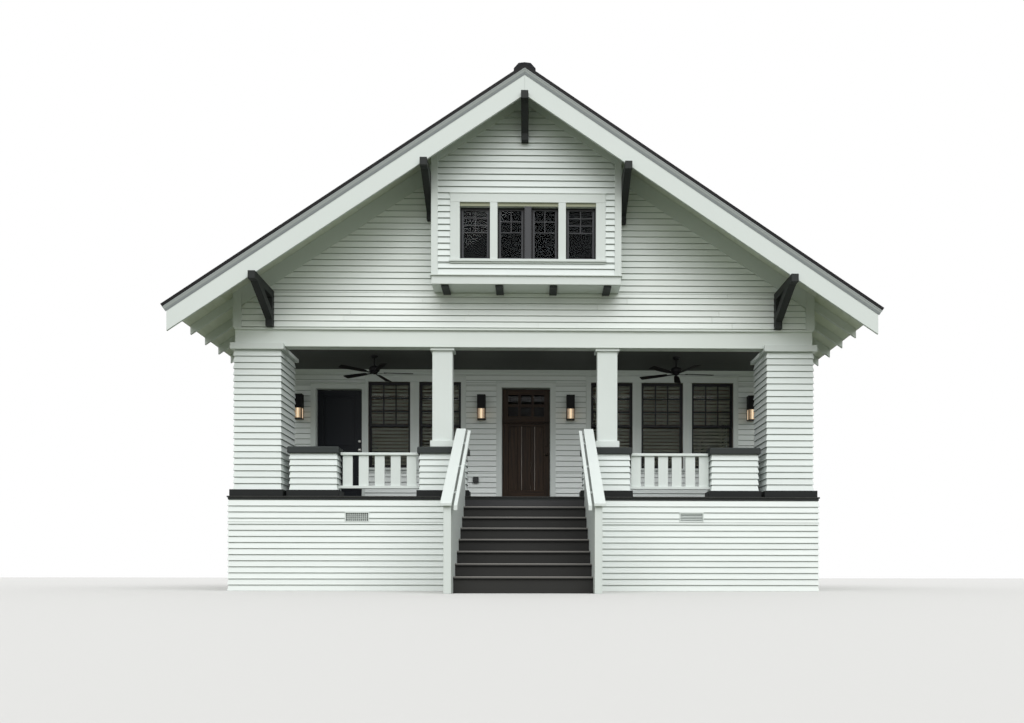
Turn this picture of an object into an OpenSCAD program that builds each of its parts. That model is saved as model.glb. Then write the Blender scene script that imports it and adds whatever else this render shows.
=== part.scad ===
// Front-gabled wooden bungalow with a full-width porch, open eaves and a raised front stair.
// Millimetres, +Z up. The porch front faces -Y; the body, roof and porch are mirrored about X = 0.

/* [House body] */
// Overall width across the outer faces of the side walls
house_w = 9580; // [9300:20:9900]
// Length of the closed house behind the porch wall
body_len = 10000; // [9000:100:12000]
// Depth of the porch from the pillar faces to the house wall
porch_depth = 2150; // [2000:10:2600]
// Thickness of the outer walls
wall_t = 150; // [120:5:200]
// Height of the porch floor above the foot of the stair
deck_z = 1560; // [1400:10:1700]
// Height of the indoor floor above the porch floor
sill_step = 40; // [20:5:80]
// Thickness of the indoor floor and of the upper floor
floor_t = 200; // [150:10:220]
// Thickness of the porch floor
deck_t = 60; // [40:5:90]
// How far the foundation stands proud of the pillars
base_proud = 70; // [50:5:120]

/* [Roof] */
// Rise of the roof for each unit of run
pitch = 0.669; // [0.65:0.001:0.72]
// Height of the top of the side walls, where the roof boards cross their outer faces
wall_top_z = 4920; // [4850:5:5000]
// Vertical thickness of the roof boards and shingles
roof_t = 62; // [50:2:90]
// Overhang of the roof past the side walls
eave_over = 820; // [700:5:850]
// Overhang of the roof past the gable walls
gable_over = 860; // [800:5:900]
// Vertical height of the boards along the gable slopes
barge_h = 400; // [340:5:440]
// Thickness of the boards along the gable slopes
barge_t = 38; // [25:1:45]
// How far the boards on the gable slopes end short of the edge of the roof
barge_in = 85; // [70:5:120]
// Width of one side of the ridge cap
ridge_w = 170; // [120:5:200]
// Thickness of the ridge cap at its edges
ridge_t = 42; // [25:1:50]
// Height of the moulding along the top of the boards on the gable slopes
crown_h = 95; // [60:5:120]
// Depth of that moulding
crown_d = 24; // [15:1:28]
// Distance from the front edge of the roof to the first rafter tail
rafter_first = 355; // [150:5:400]
// Spacing of the rafter tails
rafter_pitch = 612; // [500:2:700]
// Width of a rafter tail
rafter_w = 45; // [38:1:60]
// Vertical depth of a rafter tail
rafter_h = 150; // [120:5:180]
// How far the rafter tails end short of the edge of the roof
tail_back = 50; // [40:5:80]

/* [Porch frame] */
// Width of the corner pillars
pillar_w = 750; // [700:10:780]
// Depth of the corner pillars
pillar_d = 770; // [700:10:850]
// Height of the underside of the porch beam
beam_z = 4042; // [3950:2:4080]
// Height of the porch beam
beam_h = 300; // [240:5:360]
// Thickness of the porch beam
beam_t = 200; // [170:5:250]
// Height of the underside of the porch ceiling
ceiling_z = 4190; // [4150:5:4230]
// Height of the white cap on a corner pillar
pillar_cap_h = 60; // [40:5:90]
// Height of the lip that wraps the beam above that cap
cap_lip_h = 45; // [30:5:60]
// Overhang of that cap
pillar_cap_over = 66; // [50:2:90]
// Width of the low piers
pier_w = 750; // [700:10:780]
// Depth of the low piers
pier_d = 260; // [240:5:300]
// Set-back of the low piers from the pillar faces
pier_back = 40; // [30:5:120]
// Height of the top of the pier caps above the porch floor
pier_top = 835; // [780:5:900]
// Thickness of a pier cap
pier_cap_h = 110; // [80:5:130]
// Overhang of a pier cap
pier_cap_over = 50; // [30:5:70]
// Middle of an inner pier from the middle of the house
inner_pier_x = 1360; // [1360:5:1400]
// Middle of a porch post from the middle of the house
post_x = 1375; // [1360:5:1400]
// Middle of an outer pier from the middle of the house
outer_pier_x = 3505; // [3460:5:3520]
// Width of the posts
post_w = 335; // [300:5:380]
// Depth of the posts
post_d = 220; // [200:5:230]
// Height of the plinth blocks on the porch floor
plinth_h = 110; // [90:5:130]
// Overhang of the plinth blocks
plinth_over = 60; // [40:5:70]

/* [Railings] */
// Height of the top of the railing above the porch floor
rail_top = 753; // [740:1:765]
// Height of the underside of the bottom rail above the porch floor
rail_low = 150; // [130:2:180]
// Height of a rail
rail_h = 46; // [40:2:52]
// Depth of a rail
rail_d = 80; // [60:5:100]
// Width of the flat balusters
baluster_w = 163; // [140:1:170]
// Thickness of the flat balusters
baluster_t = 25; // [20:1:35]
// Number of balusters in the left and side bays
baluster_n = 5; // [4:1:5]
// Distance of the first baluster of the left bay from the outer pier
left_first = 81; // [60:1:90]
// Distance of the first baluster of the right bay from the outer pier
right_first = 36; // [20:1:40]
// Spacing of the balusters of the left bay
left_step = 267; // [250:1:270]
// Spacing of the balusters of the right bay, which has one more
right_step = 229; // [220:1:233]

/* [Stair] */
// Number of treads below the porch floor
tread_n = 7; // [6:1:8]
// Going of one tread
going = 290; // [280:2:300]
// Height of the lowest tread
first_rise = 239; // [200:1:250]
// Half of the clear width of the stair
stair_half = 985; // [950:5:985]
// Thickness of a tread
tread_t = 40; // [30:2:45]
// Nosing of a tread past its riser
nosing = 30; // [20:2:36]
// Thickness of a riser board
riser_t = 20; // [16:1:25]
// Thickness of the closed stair walls
cheek_t = 105; // [90:5:120]
// How far the stair walls run past the lowest nosing
newel_out = 280; // [200:10:320]
// Height of the stair wall at its front
cheek_low = 1225; // [1150:5:1300]
// Height of the stair wall at the porch
cheek_high = 2650; // [2550:5:2700]
// Thickness of the sloping cap boards
cap_t = 40; // [30:2:50]
// Overhang of the cap boards on the outer side
cap_over = 42; // [20:2:60]
// Width of the inner handrail
handrail_w = 50; // [40:2:60]
// Height of the inner handrail
handrail_h = 70; // [50:2:90]

/* [Doors and windows] */
// Width of the front door leaf
front_door_w = 930; // [900:5:950]
// Height of the front door leaf
front_door_h = 2245; // [2150:5:2255]
// Width of the porch door leaf
porch_door_w = 870; // [780:5:890]
// Height of the porch door leaf
porch_door_h = 2210; // [2100:5:2220]
// Clear width of wall between the porch door and the window beside it
porch_door_gap = 118; // [110:2:130]
// Thickness of a door leaf
leaf_t = 45; // [40:1:50]
// Gap between a door leaf and its frame
leaf_gap = 8; // [7:0.5:10]
// Thickness of the door frame boards
jamb_t = 28; // [20:1:32]
// Radius of a hinge knuckle
knuckle_r = 9; // [8:0.5:11]
// Width of a window
win_w = 800; // [740:5:820]
// Height of a window
win_h = 1650; // [1550:10:1680]
// Height of the top of the windows above the porch floor
win_top = 2405; // [2350:5:2410]
// Spacing of windows that stand in a row
win_pitch = 970; // [960:5:980]
// Middle of the window nearest the middle of the house
win_x = 1645; // [1640:5:1660]
// Width of the boards round doors and windows
casing_w = 95; // [80:5:95]
// Thickness of those boards
casing_t = 25; // [20:1:35]
// Width of a sash frame
sash_w = 48; // [40:2:60]
// Depth of a sash
sash_d = 50; // [40:2:60]
// Thickness of the glass
glass_t = 6; // [4:1:10]
// Number of windows along each side wall
side_win_n = 4; // [3:1:4]

/* [Gable bay] */
// Half of the width of the bay
bay_half = 1500; // [1480:5:1510]
// Middle of the bay from the middle of the house
bay_x = 25; // [-25:5:30]
// Middle of the row of bay windows from the middle of the house
bay_win_x = 50; // [0:5:60]
// How far the bay stands out from the gable wall
bay_out = 420; // [380:5:460]
// Height of the underside of the bay
bay_z = 4938; // [4900:2:5000]
// Thickness of the bay walls
bay_t = 100; // [80:5:120]
// Height of the bottom of the bay windows
bay_win_z = 5335; // [5300:5:5360]
// Height of the bay windows
bay_win_h = 860; // [800:5:900]
// Width of each of the two middle lights
bay_mid_w = 435; // [400:5:440]
// Width of each side light
bay_side_w = 485; // [440:5:490]
// Width of the post between two middle lights
bay_mull = 110; // [80:5:120]
// Width of the posts beside the middle pair
bay_post = 120; // [100:5:150]
// Width of the square blocks under the bay
corbel_w = 122; // [100:2:140]
// Height of those blocks
corbel_h = 38; // [30:1:60]
// How far their front ends stand back from the face of the bay
corbel_back = 20; // [10:5:60]

/* [Brackets] */
// Width of the timbers of a bracket
brace_w = 114; // [100:2:126]
// Vertical depth of a bracket's outrigger
brace_h = 125; // [100:5:140]
// Length of a bracket's leg on the wall
brace_leg = 600; // [560:5:600]
// Length of the leg of the bracket at the ridge
apex_leg = 550; // [500:5:600]
// Vertical depth of a bracket's strut
strut_h = 150; // [110:5:170]
// Height of the strut's foot above the bottom of the leg
strut_foot = 110; // [80:5:140]
// How far the outrigger runs past the gable boards
brace_nose = 68; // [40:2:80]
// Depth of the notch that the gable boards have over an outrigger
brace_notch = 30; // [10:5:60]
// Distance of the brackets beside the bay from the middle of the bay
brace_mid_x = 1587; // [1584:1:1600]
// Middle of the low brackets
brace_low_x = 4200; // [4100:5:4250]

/* [Fans and lanterns] */
// Middle of each ceiling fan from the middle of the house
fan_x = 2710; // [2650:5:2850]
// Middle of each ceiling fan behind the pillar faces
fan_y = 1130; // [1100:5:1200]
// Radius over the fan blades
fan_r = 700; // [600:5:720]
// Height of the fan blades
fan_z = 3890; // [3850:2:3900]
// Number of fan blades
fan_n = 5; // [3:1:5]
// Width of a fan blade at its tip
blade_w = 130; // [100:5:150]
// Thickness of a fan blade
blade_t = 8; // [6:1:12]
// Height of a wall lantern
lantern_h = 470; // [400:10:550]
// Width of a wall lantern
lantern_w = 160; // [130:5:180]
// Height of the top of the lanterns above the porch floor
lantern_top = 2140; // [2100:5:2250]
// Middle of the lanterns beside the front door
lantern_in_x = 850; // [840:5:870]
// Clear distance between the outermost window boards and the lanterns beside the pillars
lantern_gap = 160; // [150:5:180]

/* [Hidden] */
half = house_w / 2;
ridge_z = wall_top_z + pitch * half;
seat = 0.3;
eps = 1;
floor_z = deck_z + sill_step;
rear_y = porch_depth + body_len;
eave_x = half + eave_over;
eave_in = eave_x - square_cut(roof_t);
barge_x = eave_x - barge_in;
front_roof_y = -gable_over;
rear_roof_y = rear_y + gable_over;
roof_y0 = front_roof_y - barge_t - crown_d;
roof_y1 = rear_roof_y + barge_t + crown_d;
cheek_y0 = -base_proud - nosing - tread_n * going - newel_out;
box_front = cheek_y0 - cap_over;
box_rear = rear_roof_y + barge_t + brace_nose;
mid_y = (box_front + box_rear) / 2;
skirt_x = half + base_proud;
beam_top = beam_z + beam_h;
pier_cap_z = deck_z + pier_top - pier_cap_h;
rise = (deck_z - first_rise) / tread_n;
deck_front = -base_proud - nosing;
pier_y = pier_back;
pillar_x = half - pillar_w / 2;
bay_clear_w = outer_pier_x - inner_pier_x - pier_w;
front_wall_y = porch_depth;
door_hole = leaf_gap + jamb_t;
win_z = deck_z + win_top - win_h;
inner_y = front_wall_y + wall_t;
cheek_y1 = pier_y - plinth_over - seat;
cheek_slope = (cheek_high - cheek_low) / (cheek_y1 - cheek_y0);
hinge_y = inner_y + knuckle_r;
porch_door_x = win_x + win_pitch + win_w / 2 + porch_door_gap + leaf_gap + porch_door_w / 2;
porch_hinge_x = -porch_door_x - porch_door_w / 2;
lantern_out_x = win_x + 2 * win_pitch + win_w / 2 + casing_w + lantern_gap + lantern_w / 2;
front_hinge_x = -front_door_w / 2;
shared_w = porch_door_gap / 2;
bay_mid_x = (bay_mull + bay_mid_w) / 2;
bay_side_x = bay_mull / 2 + bay_mid_w + bay_post + bay_side_w / 2;
bay_lights = [
    [bay_win_x - bay_side_x, bay_side_w], [bay_win_x - bay_mid_x, bay_mid_w],
    [bay_win_x + bay_mid_x, bay_mid_w], [bay_win_x + bay_side_x, bay_side_w]
];
bay_x0 = bay_x - bay_half;
bay_x1 = bay_x + bay_half;
front_wins = [-win_x - win_pitch, -win_x, win_x, win_x + win_pitch, win_x + 2 * win_pitch];
side_wins = [for (i = [0:side_win_n - 1]) porch_depth + (i + 0.5) * body_len / side_win_n];
rear_wins = [-2.6 * win_pitch, 0, 2.6 * win_pitch];
brace_xs = [bay_x - brace_mid_x, bay_x + brace_mid_x, -brace_low_x, brace_low_x];
motor_r = 95;
motor_h = 110;
rod_r = 14;
canopy_r = 65;
canopy_h = 45;
hub_r = 60;
hub_h = 26;

// Height of the underside of the roof boards at a distance x from the ridge
function roof_under(x) = ridge_z - pitch * abs(x);

// Run of a square cut across a strip on the slope with upright height h
function square_cut(h) = h * pitch / (1 + pitch * pitch);

// Underside of the boards along the gable slopes
function barge_under(x) = roof_under(x) - barge_h;

// Top of a bracket's outrigger at x
function brace_top(x) = barge_under(x) + brace_notch;

// Moves the model so that its box is centred on the origin
module place() {
    translate([0, -mid_y, 0]) children();
}

// Box from its lowest to its highest corner
module box(low, high) {
    translate(low) cube(high - low);
}

// Copies the children to the left of the middle as well
module both_sides() {
    children();
    mirror([1, 0, 0]) children();
}

// Outline in X and Z, extruded along Y from y0 to y1
module slab_xz(points, y0, y1) {
    translate([0, y1, 0]) rotate([90, 0, 0]) linear_extrude(y1 - y0) polygon(points);
}

// Outline in Y and Z, extruded along X from x0 to x1
module slab_yz(points, x0, x1) {
    translate([x0, 0, 0]) rotate([90, 0, 90]) linear_extrude(x1 - x0) polygon(points);
}

// Places that share a window of the ground storey: turned so that its outer face looks along -Y
module at_front_windows() {
    for (x = front_wins) translate([x, front_wall_y, win_z]) children();
}

module at_side_windows() {
    for (y = side_wins) {
        translate([half, y, win_z]) rotate([0, 0, 90]) children();
        translate([-half, y, win_z]) rotate([0, 0, -90]) children();
    }
}

module at_rear_windows() {
    for (x = rear_wins) translate([x, rear_y, win_z]) rotate([0, 0, 180]) children();
}

module at_ground_windows() {
    at_front_windows() children();
    at_side_windows() children();
    at_rear_windows() children();
}

// Hole for one window of the ground storey
module window_hole() {
    translate([-win_w / 2, -eps, 0]) cube([win_w, wall_t + 2 * eps, win_h]);
}

// Foundation
module foundation_front() {
    vent_w = 400;
    vent_h = 165;
    vent_z = 1135;
    vent_x = 2760;
    color("whitesmoke") place() difference() {
        box([-skirt_x, -base_proud, 0], [skirt_x, -base_proud + wall_t, deck_z - deck_t]);
        both_sides() box([vent_x - vent_w / 2, -base_proud - eps, vent_z],
            [vent_x + vent_w / 2, -base_proud + wall_t + eps, vent_z + vent_h]);
    }
}

module foundation_sides() {
    color("whitesmoke") place() both_sides() {
        difference() {
            box([skirt_x - wall_t - base_proud, wall_t - base_proud, 0],
                [skirt_x, rear_y - wall_t, floor_z - floor_t]);
            box([half, porch_depth, -eps], [skirt_x + eps, rear_y, floor_z]);
            box([0, -base_proud, deck_z - deck_t], [skirt_x + eps, porch_depth, floor_z]);
        }
    }
}

module foundation_rear() {
    color("whitesmoke") place() box([-half, rear_y - wall_t, 0], [half, rear_y, floor_z - floor_t]);
}

// Floors
module main_floor() {
    color("tan") place() box([-half, porch_depth, floor_z - floor_t], [half, rear_y, floor_z]);
}

module porch_floor() {
    color("dimgray") place() box([-skirt_x - nosing, deck_front, deck_z - deck_t],
        [skirt_x + nosing, porch_depth, deck_z]);
}

module upper_floor() {
    color("tan") place() box([-half + wall_t, inner_y, ceiling_z],
        [half - wall_t, rear_y - wall_t, ceiling_z + floor_t]);
}

// Stair
function tread_top(i) = first_rise + i * rise;
function tread_front(i) = deck_front - (tread_n - i) * going;

module stair_treads() {
    color("dimgray") place() for (i = [0:tread_n - 1])
        box([-stair_half, tread_front(i), tread_top(i) - tread_t],
            [stair_half, tread_front(i + 1) + nosing + (i < tread_n - 1 ? riser_t : 0), tread_top(i)]);
}

// Three sawtooth carriages, with a riser board standing in front of each of their steps
module stair_frame() {
    carriage_w = 45;
    carriage_x = stair_half - carriage_w;
    set_back = nosing + riser_t + seat;
    rear = tread_front(tread_n) + nosing;
    profile = concat(
        [[rear, 0], [tread_front(0) + set_back, 0]],
        [for (i = [0:tread_n - 1]) for (k = [0, 1])
            [min(tread_front(i + k) + set_back, rear), tread_top(i) - tread_t - seat]]
    );
    color("dimgray") place() {
        for (x = [-carriage_x, 0, carriage_x])
            slab_yz(profile, x - carriage_w / 2, x + carriage_w / 2);
        for (i = [0:tread_n - 1])
            box([-stair_half, tread_front(i) + nosing, i == 0 ? 0 : tread_top(i - 1) + seat],
                [stair_half, tread_front(i) + nosing + riser_t, tread_top(i) - tread_t - seat]);
    }
}

module stair_walls() {
    profile = [
        [cheek_y0, 0], [-base_proud - seat, 0], [-base_proud - seat, deck_z - deck_t - seat],
        [deck_front - seat, deck_z - deck_t - seat], [deck_front - seat, deck_z + seat],
        [cheek_y1, deck_z + seat], [cheek_y1, cheek_high], [cheek_y0, cheek_low]
    ];
    color("white") place() both_sides()
        slab_yz(profile, stair_half + seat, stair_half + seat + cheek_t);
}

module stair_rails() {
    rail_drop = 30;
    lap = 10;
    arm_n = 3;
    arm_w = 30;
    y_low = cheek_y0 - cap_over;
    rail_x = stair_half - handrail_w - cap_t;
    cap = [
        [y_low, cheek_z(y_low) + seat], [cheek_y1, cheek_high + seat],
        [cheek_y1, cheek_high + cap_t], [y_low, cheek_z(y_low) + cap_t]
    ];
    rail_top_z = cap_t - rail_drop;
    rail = [
        [y_low, cheek_z(y_low) + rail_top_z - handrail_h], [cheek_y1, cheek_high + rail_top_z - handrail_h],
        [cheek_y1, cheek_high + rail_top_z], [y_low, cheek_z(y_low) + rail_top_z]
    ];
    color("white") place() both_sides() {
        slab_yz(cap, stair_half - lap, stair_half + cheek_t + cap_over);
        slab_yz(rail, rail_x, rail_x + handrail_w);
        for (i = [0:arm_n - 1]) {
            y = cheek_y0 + (i + 0.5) * (cheek_y1 - cheek_y0) / arm_n;
            z = cheek_z(y) - handrail_h / 2;
            box([rail_x + handrail_w - eps, y - arm_w / 2, z - arm_w / 2],
                [stair_half + seat, y + arm_w / 2, z + arm_w / 2]);
        }
    }
}

// Height of the top of the stair wall at y
function cheek_z(y) = cheek_low + (y - cheek_y0) * cheek_slope;

// Porch pillars, piers and posts
module at_piers() {
    for (x = [-outer_pier_x, -inner_pier_x, inner_pier_x, outer_pier_x]) translate([x, pier_y, 0]) children();
}

module pillars() {
    color("white") place() both_sides()
        box([half - pillar_w, 0, deck_z + plinth_h], [half, pillar_d, beam_z - pillar_cap_h]);
}

module pillar_caps() {
    low = [half - pillar_w - pillar_cap_over, -pillar_cap_over, beam_z - pillar_cap_h];
    high = [half + pillar_cap_over, pillar_d + pillar_cap_over, beam_z + cap_lip_h];
    color("white") place() both_sides() difference() {
        box(low, high);
        box([low[0] - eps, 0, beam_z], [half, high[1] + eps, high[2] + eps]);
    }
}

module piers() {
    color("white") place() at_piers()
        translate([-pier_w / 2, 0, deck_z + plinth_h]) cube([pier_w, pier_d, pier_cap_z - deck_z - plinth_h]);
}

module pier_caps() {
    color("dimgray") place() at_piers()
        translate([-pier_w / 2 - pier_cap_over, -pier_cap_over, pier_cap_z])
            cube([pier_w + 2 * pier_cap_over, pier_d + 2 * pier_cap_over, pier_cap_h]);
}

module plinths() {
    color("dimgray") place() {
        at_piers() translate([-pier_w / 2 - plinth_over, -plinth_over, deck_z])
            cube([pier_w + 2 * plinth_over, pier_d + 2 * plinth_over, plinth_h]);
        both_sides() box([half - pillar_w - plinth_over, -base_proud, deck_z],
            [half + base_proud, pillar_d + plinth_over, deck_z + plinth_h]);
    }
}

module porch_posts() {
    base_h = 105;
    base_over = 32;
    pad_h = 45;
    post_y = pier_y + 20;
    color("white") place() both_sides() {
        box([post_x - post_w / 2, post_y, deck_z + pier_top], [post_x + post_w / 2, post_y + post_d, beam_z]);
        box([post_x - post_w / 2 - base_over, post_y - base_over, deck_z + pier_top],
            [post_x + post_w / 2 + base_over, post_y + post_d + base_over, deck_z + pier_top + base_h]);
        box([post_x - post_w / 2 - base_over, post_y - base_over, beam_z - pad_h],
            [post_x + post_w / 2 + base_over, post_y + post_d + base_over, beam_z]);
    }
}

// One bay of railing along X, notched at both ends round the pier caps
module railing_bay(length, first, step, count, notch) {
    difference() {
        union() {
            for (z = [rail_low, rail_top - rail_h]) translate([0, -rail_d / 2, z]) cube([length, rail_d, rail_h]);
            for (i = [0:count - 1]) translate([first + i * step, -baluster_t / 2, rail_low + eps])
                cube([baluster_w, baluster_t, rail_top - rail_low - 2 * eps]);
        }
        if (notch > 0) for (x = [-eps, length - notch]) translate([x, -rail_d, pier_top - pier_cap_h - seat])
            cube([notch + eps, 2 * rail_d, pier_top]);
    }
}

module porch_railings() {
    rail_y = pier_y + pier_d / 2;
    side_len = porch_depth - pillar_d;
    notch = pier_cap_over + seat;
    outer = [-outer_pier_x + pier_w / 2, rail_y, deck_z];
    color("white") place() {
        translate(outer) railing_bay(bay_clear_w, left_first, left_step, baluster_n, notch);
        mirror([1, 0, 0]) translate(outer) railing_bay(bay_clear_w, right_first, right_step, baluster_n + 1, notch);
        both_sides() translate([half - pillar_w / 2, pillar_d, deck_z]) rotate([0, 0, 90])
            railing_bay(side_len, 0, side_len / baluster_n, baluster_n, 0);
    }
}

module porch_beam() {
    drip_d = 38;
    drip_h = 28;
    side = [
        [half - wall_t, beam_z], [half, beam_z], [half, roof_under(half)],
        [half - wall_t, roof_under(half - wall_t)]
    ];
    color("white") place() {
        box([-half, 0, beam_z], [half, beam_t, beam_top]);
        box([-half, -drip_d, beam_top - drip_h], [half, eps, beam_top]);
        both_sides() slab_xz(side, wall_t, porch_depth);
    }
}

module porch_ceiling() {
    color("darkslategray") place()
        box([-half + wall_t, beam_t, ceiling_z], [half - wall_t, porch_depth, beam_top]);
}

// Walls of the ground storey
module front_wall_piece(x0, x1) {
    color("white") place() difference() {
        box([x0, front_wall_y, floor_z], [x1, inner_y, ceiling_z]);
        at_front_windows() window_hole();
    }
}

module front_wall_left() {
    front_wall_piece(-half + wall_t, -porch_door_x - porch_door_w / 2 - door_hole);
}

module front_wall_middle() {
    front_wall_piece(-porch_door_x + porch_door_w / 2 + door_hole, -front_door_w / 2 - door_hole);
}

module front_wall_right() {
    front_wall_piece(front_door_w / 2 + door_hole, half - wall_t);
}

module front_wall_header() {
    door_head(0, front_door_w, front_door_h);
    door_head(-porch_door_x, porch_door_w, porch_door_h);
    color("white") place() box([-half + wall_t, front_wall_y, ceiling_z],
        [half - wall_t, inner_y, ceiling_z + floor_t]);
}

// Piece of wall over one door
module door_head(x, leaf_w, leaf_h) {
    color("white") place() box(
        [x - leaf_w / 2 - door_hole, front_wall_y, floor_z + leaf_gap + leaf_h + door_hole],
        [x + leaf_w / 2 + door_hole, inner_y, ceiling_z + eps]);
}

module side_walls() {
    profile = [
        [half - wall_t, floor_z], [half, floor_z], [half, roof_under(half)],
        [half - wall_t, roof_under(half - wall_t)]
    ];
    color("white") place() difference() {
        both_sides() slab_xz(profile, porch_depth, rear_y - wall_t);
        at_side_windows() window_hole();
    }
}

module rear_wall() {
    color("white") place() difference() {
        box([-half, rear_y - wall_t, floor_z], [half, rear_y, beam_top]);
        at_rear_windows() window_hole();
    }
}

// Gable wall outline, from the beam up to the roof boards
gable_outline = [
    [-half, beam_top], [half, beam_top], [half, roof_under(half)], [0, ridge_z], [-half, roof_under(half)]
];

module front_gable() {
    color("white") place() difference() {
        slab_xz(gable_outline, 0, wall_t);
        box([bay_x0 + bay_t, -eps, bay_z + bay_t], [bay_x1 - bay_t, wall_t + eps, bay_win_z + bay_win_h]);
    }
}

module rear_gable() {
    color("white") place() difference() {
        slab_xz(gable_outline, rear_y - wall_t, rear_y);
        for (s = [-1, 1]) box([s * win_pitch / 2 - win_w / 2, rear_y - wall_t - eps, bay_win_z],
            [s * win_pitch / 2 + win_w / 2, rear_y + eps, bay_win_z + bay_win_h]);
    }
}

// Bay that stands out of the front gable
module gable_bay() {
    outline = [
        [bay_x0, bay_z], [bay_x1, bay_z], [bay_x1, roof_under(bay_x1)], [0, ridge_z],
        [bay_x0, roof_under(bay_x0)]
    ];
    band_d = 22;
    band_h = 130;
    color("white") place() difference() {
        union() {
            slab_xz(outline, -bay_out, 0);
            box([bay_x0 - band_d, -bay_out - band_d, bay_z], [bay_x1 + band_d, 0, bay_z + band_h]);
        }
        box([bay_x0 + bay_t, -bay_out + bay_t, bay_z + bay_t],
            [bay_x1 - bay_t, eps, bay_win_z + bay_win_h]);
        for (l = bay_lights) box([l[0] - l[1] / 2, -bay_out - eps, bay_win_z],
            [l[0] + l[1] / 2, -bay_out + bay_t + eps, bay_win_z + bay_win_h]);
    }
}

module bay_corbels() {
    corbel_pitch = 875;
    corbel_out = bay_out - corbel_back;
    color("dimgray") place() translate([bay_x, 0, 0]) for (i = [-1.5:1:1.5])
        box([i * corbel_pitch - corbel_w / 2, -corbel_out, bay_z - corbel_h],
            [i * corbel_pitch + corbel_w / 2, 0, bay_z]);
}

// Roof
module roof_slope() {
    slab_xz([
        [0, ridge_z + seat], [eave_in, roof_under(eave_in) + seat],
        [eave_x, roof_under(eave_x) + roof_t], [0, ridge_z + roof_t]
    ], roof_y0, roof_y1);
}

module roof_right() {
    color("dimgray") place() roof_slope();
}

module roof_left() {
    color("dimgray") place() mirror([1, 0, 0]) roof_slope();
}

// Low hump along the ridge, flatter than the slopes, with upright edges
module ridge_cap() {
    top = ridge_z + roof_t + seat;
    flat_w = 0.55 * ridge_w;
    edge_z = top - pitch * ridge_w;
    right = [[ridge_w, edge_z], [ridge_w, edge_z + ridge_t], [flat_w, top - 0.12 * flat_w + ridge_t / 2]];
    left = [for (i = [len(right) - 1:-1:0]) [-right[i][0], right[i][1]]];
    color("black") place()
        slab_xz(concat([[0, top]], right, [[0, top + ridge_t / 2]], left), roof_y0, roof_y1);
}

// One board along a gable slope with an upright end, notched over the outriggers, and its crown strip;
// side is 1 on the right and -1 for the board that is mirrored to the left
module bargeboard(side) {
    notch_w = brace_w + 2 * seat;
    crown_x = eave_in - square_cut(crown_h);
    outline = [
        [seat, roof_under(seat)], [barge_x, roof_under(barge_x)], [barge_x, barge_under(barge_x)],
        [seat, barge_under(seat)]
    ];
    crown = [
        [seat, roof_under(seat)], [eave_in, roof_under(eave_in)], [crown_x, roof_under(crown_x) - crown_h],
        [seat, roof_under(seat) - crown_h]
    ];
    difference() {
        slab_xz(outline, 0, barge_t);
        for (x = [0, brace_mid_x + side * bay_x, brace_low_x])
            box([x - notch_w / 2, -eps, barge_under(x) - brace_h],
                [x + notch_w / 2, barge_t + eps, brace_top(x) + seat]);
    }
    slab_xz(crown, -crown_d, eps);
}

module bargeboard_pair() {
    bargeboard(1);
    mirror([1, 0, 0]) bargeboard(-1);
}

module bargeboards() {
    color("white") place() {
        translate([0, front_roof_y - barge_t, 0]) bargeboard_pair();
        translate([0, rear_roof_y + barge_t, 0]) mirror([0, 1, 0]) bargeboard_pair();
    }
}

module rafter_tails() {
    run = rear_roof_y - front_roof_y;
    count = floor((run - 2 * rafter_first) / rafter_pitch);
    tail_in = half;
    tail_out = eave_x - tail_back;
    profile = [
        [tail_in, roof_under(tail_in) - rafter_h], [tail_out, roof_under(tail_out) - rafter_h],
        [tail_out, roof_under(tail_out)], [tail_in, roof_under(tail_in)]
    ];
    color("white") place() both_sides() for (i = [0:count]) {
        y = front_roof_y + rafter_first + i * rafter_pitch;
        slab_xz(profile, y - rafter_w / 2, y + rafter_w / 2);
    }
}

// Bracket under the gable overhang: outrigger, leg on the wall and strut, profile in Y and Z
module bracket(x, wall_y, leg) {
    top = brace_top(x);
    leg_z = max(top - leg, beam_top + seat);
    front = front_roof_y - barge_t - brace_nose;
    leg_y = wall_y - brace_w;
    foot_z = top - leg + strut_foot;
    lean = (top - brace_h - foot_z) / (leg_y - front - brace_h);
    color("black") difference() {
        slab_yz([
            [front, top], [wall_y, top], [wall_y, leg_z], [leg_y, leg_z],
            [leg_y, foot_z], [front + brace_h, top - brace_h], [front, top - brace_h]
        ], x - brace_w / 2, x + brace_w / 2);
        slab_yz([
            [leg_y, top - brace_h], [leg_y, foot_z + strut_h],
            [leg_y - (top - brace_h - foot_z - strut_h) / lean, top - brace_h]
        ], x - brace_w, x + brace_w);
    }
}

module gable_brackets() {
    place() {
        bracket(0, -bay_out, apex_leg);
        for (x = brace_xs) bracket(x, 0, brace_leg);
        translate([0, rear_y, 0]) mirror([0, 1, 0]) {
            bracket(0, 0, apex_leg);
            for (x = brace_xs) bracket(x, 0, brace_leg);
        }
    }
}

// Boards round the windows and doors
module frame_boards(w, h, side_w, head_h, sill_h, depth) {
    difference() {
        translate([-w / 2 - side_w, -depth, -sill_h]) cube([w + 2 * side_w, depth, h + head_h + sill_h]);
        translate([-w / 2, -depth - eps, 0]) cube([w, depth + 2 * eps, h]);
    }
}

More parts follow.
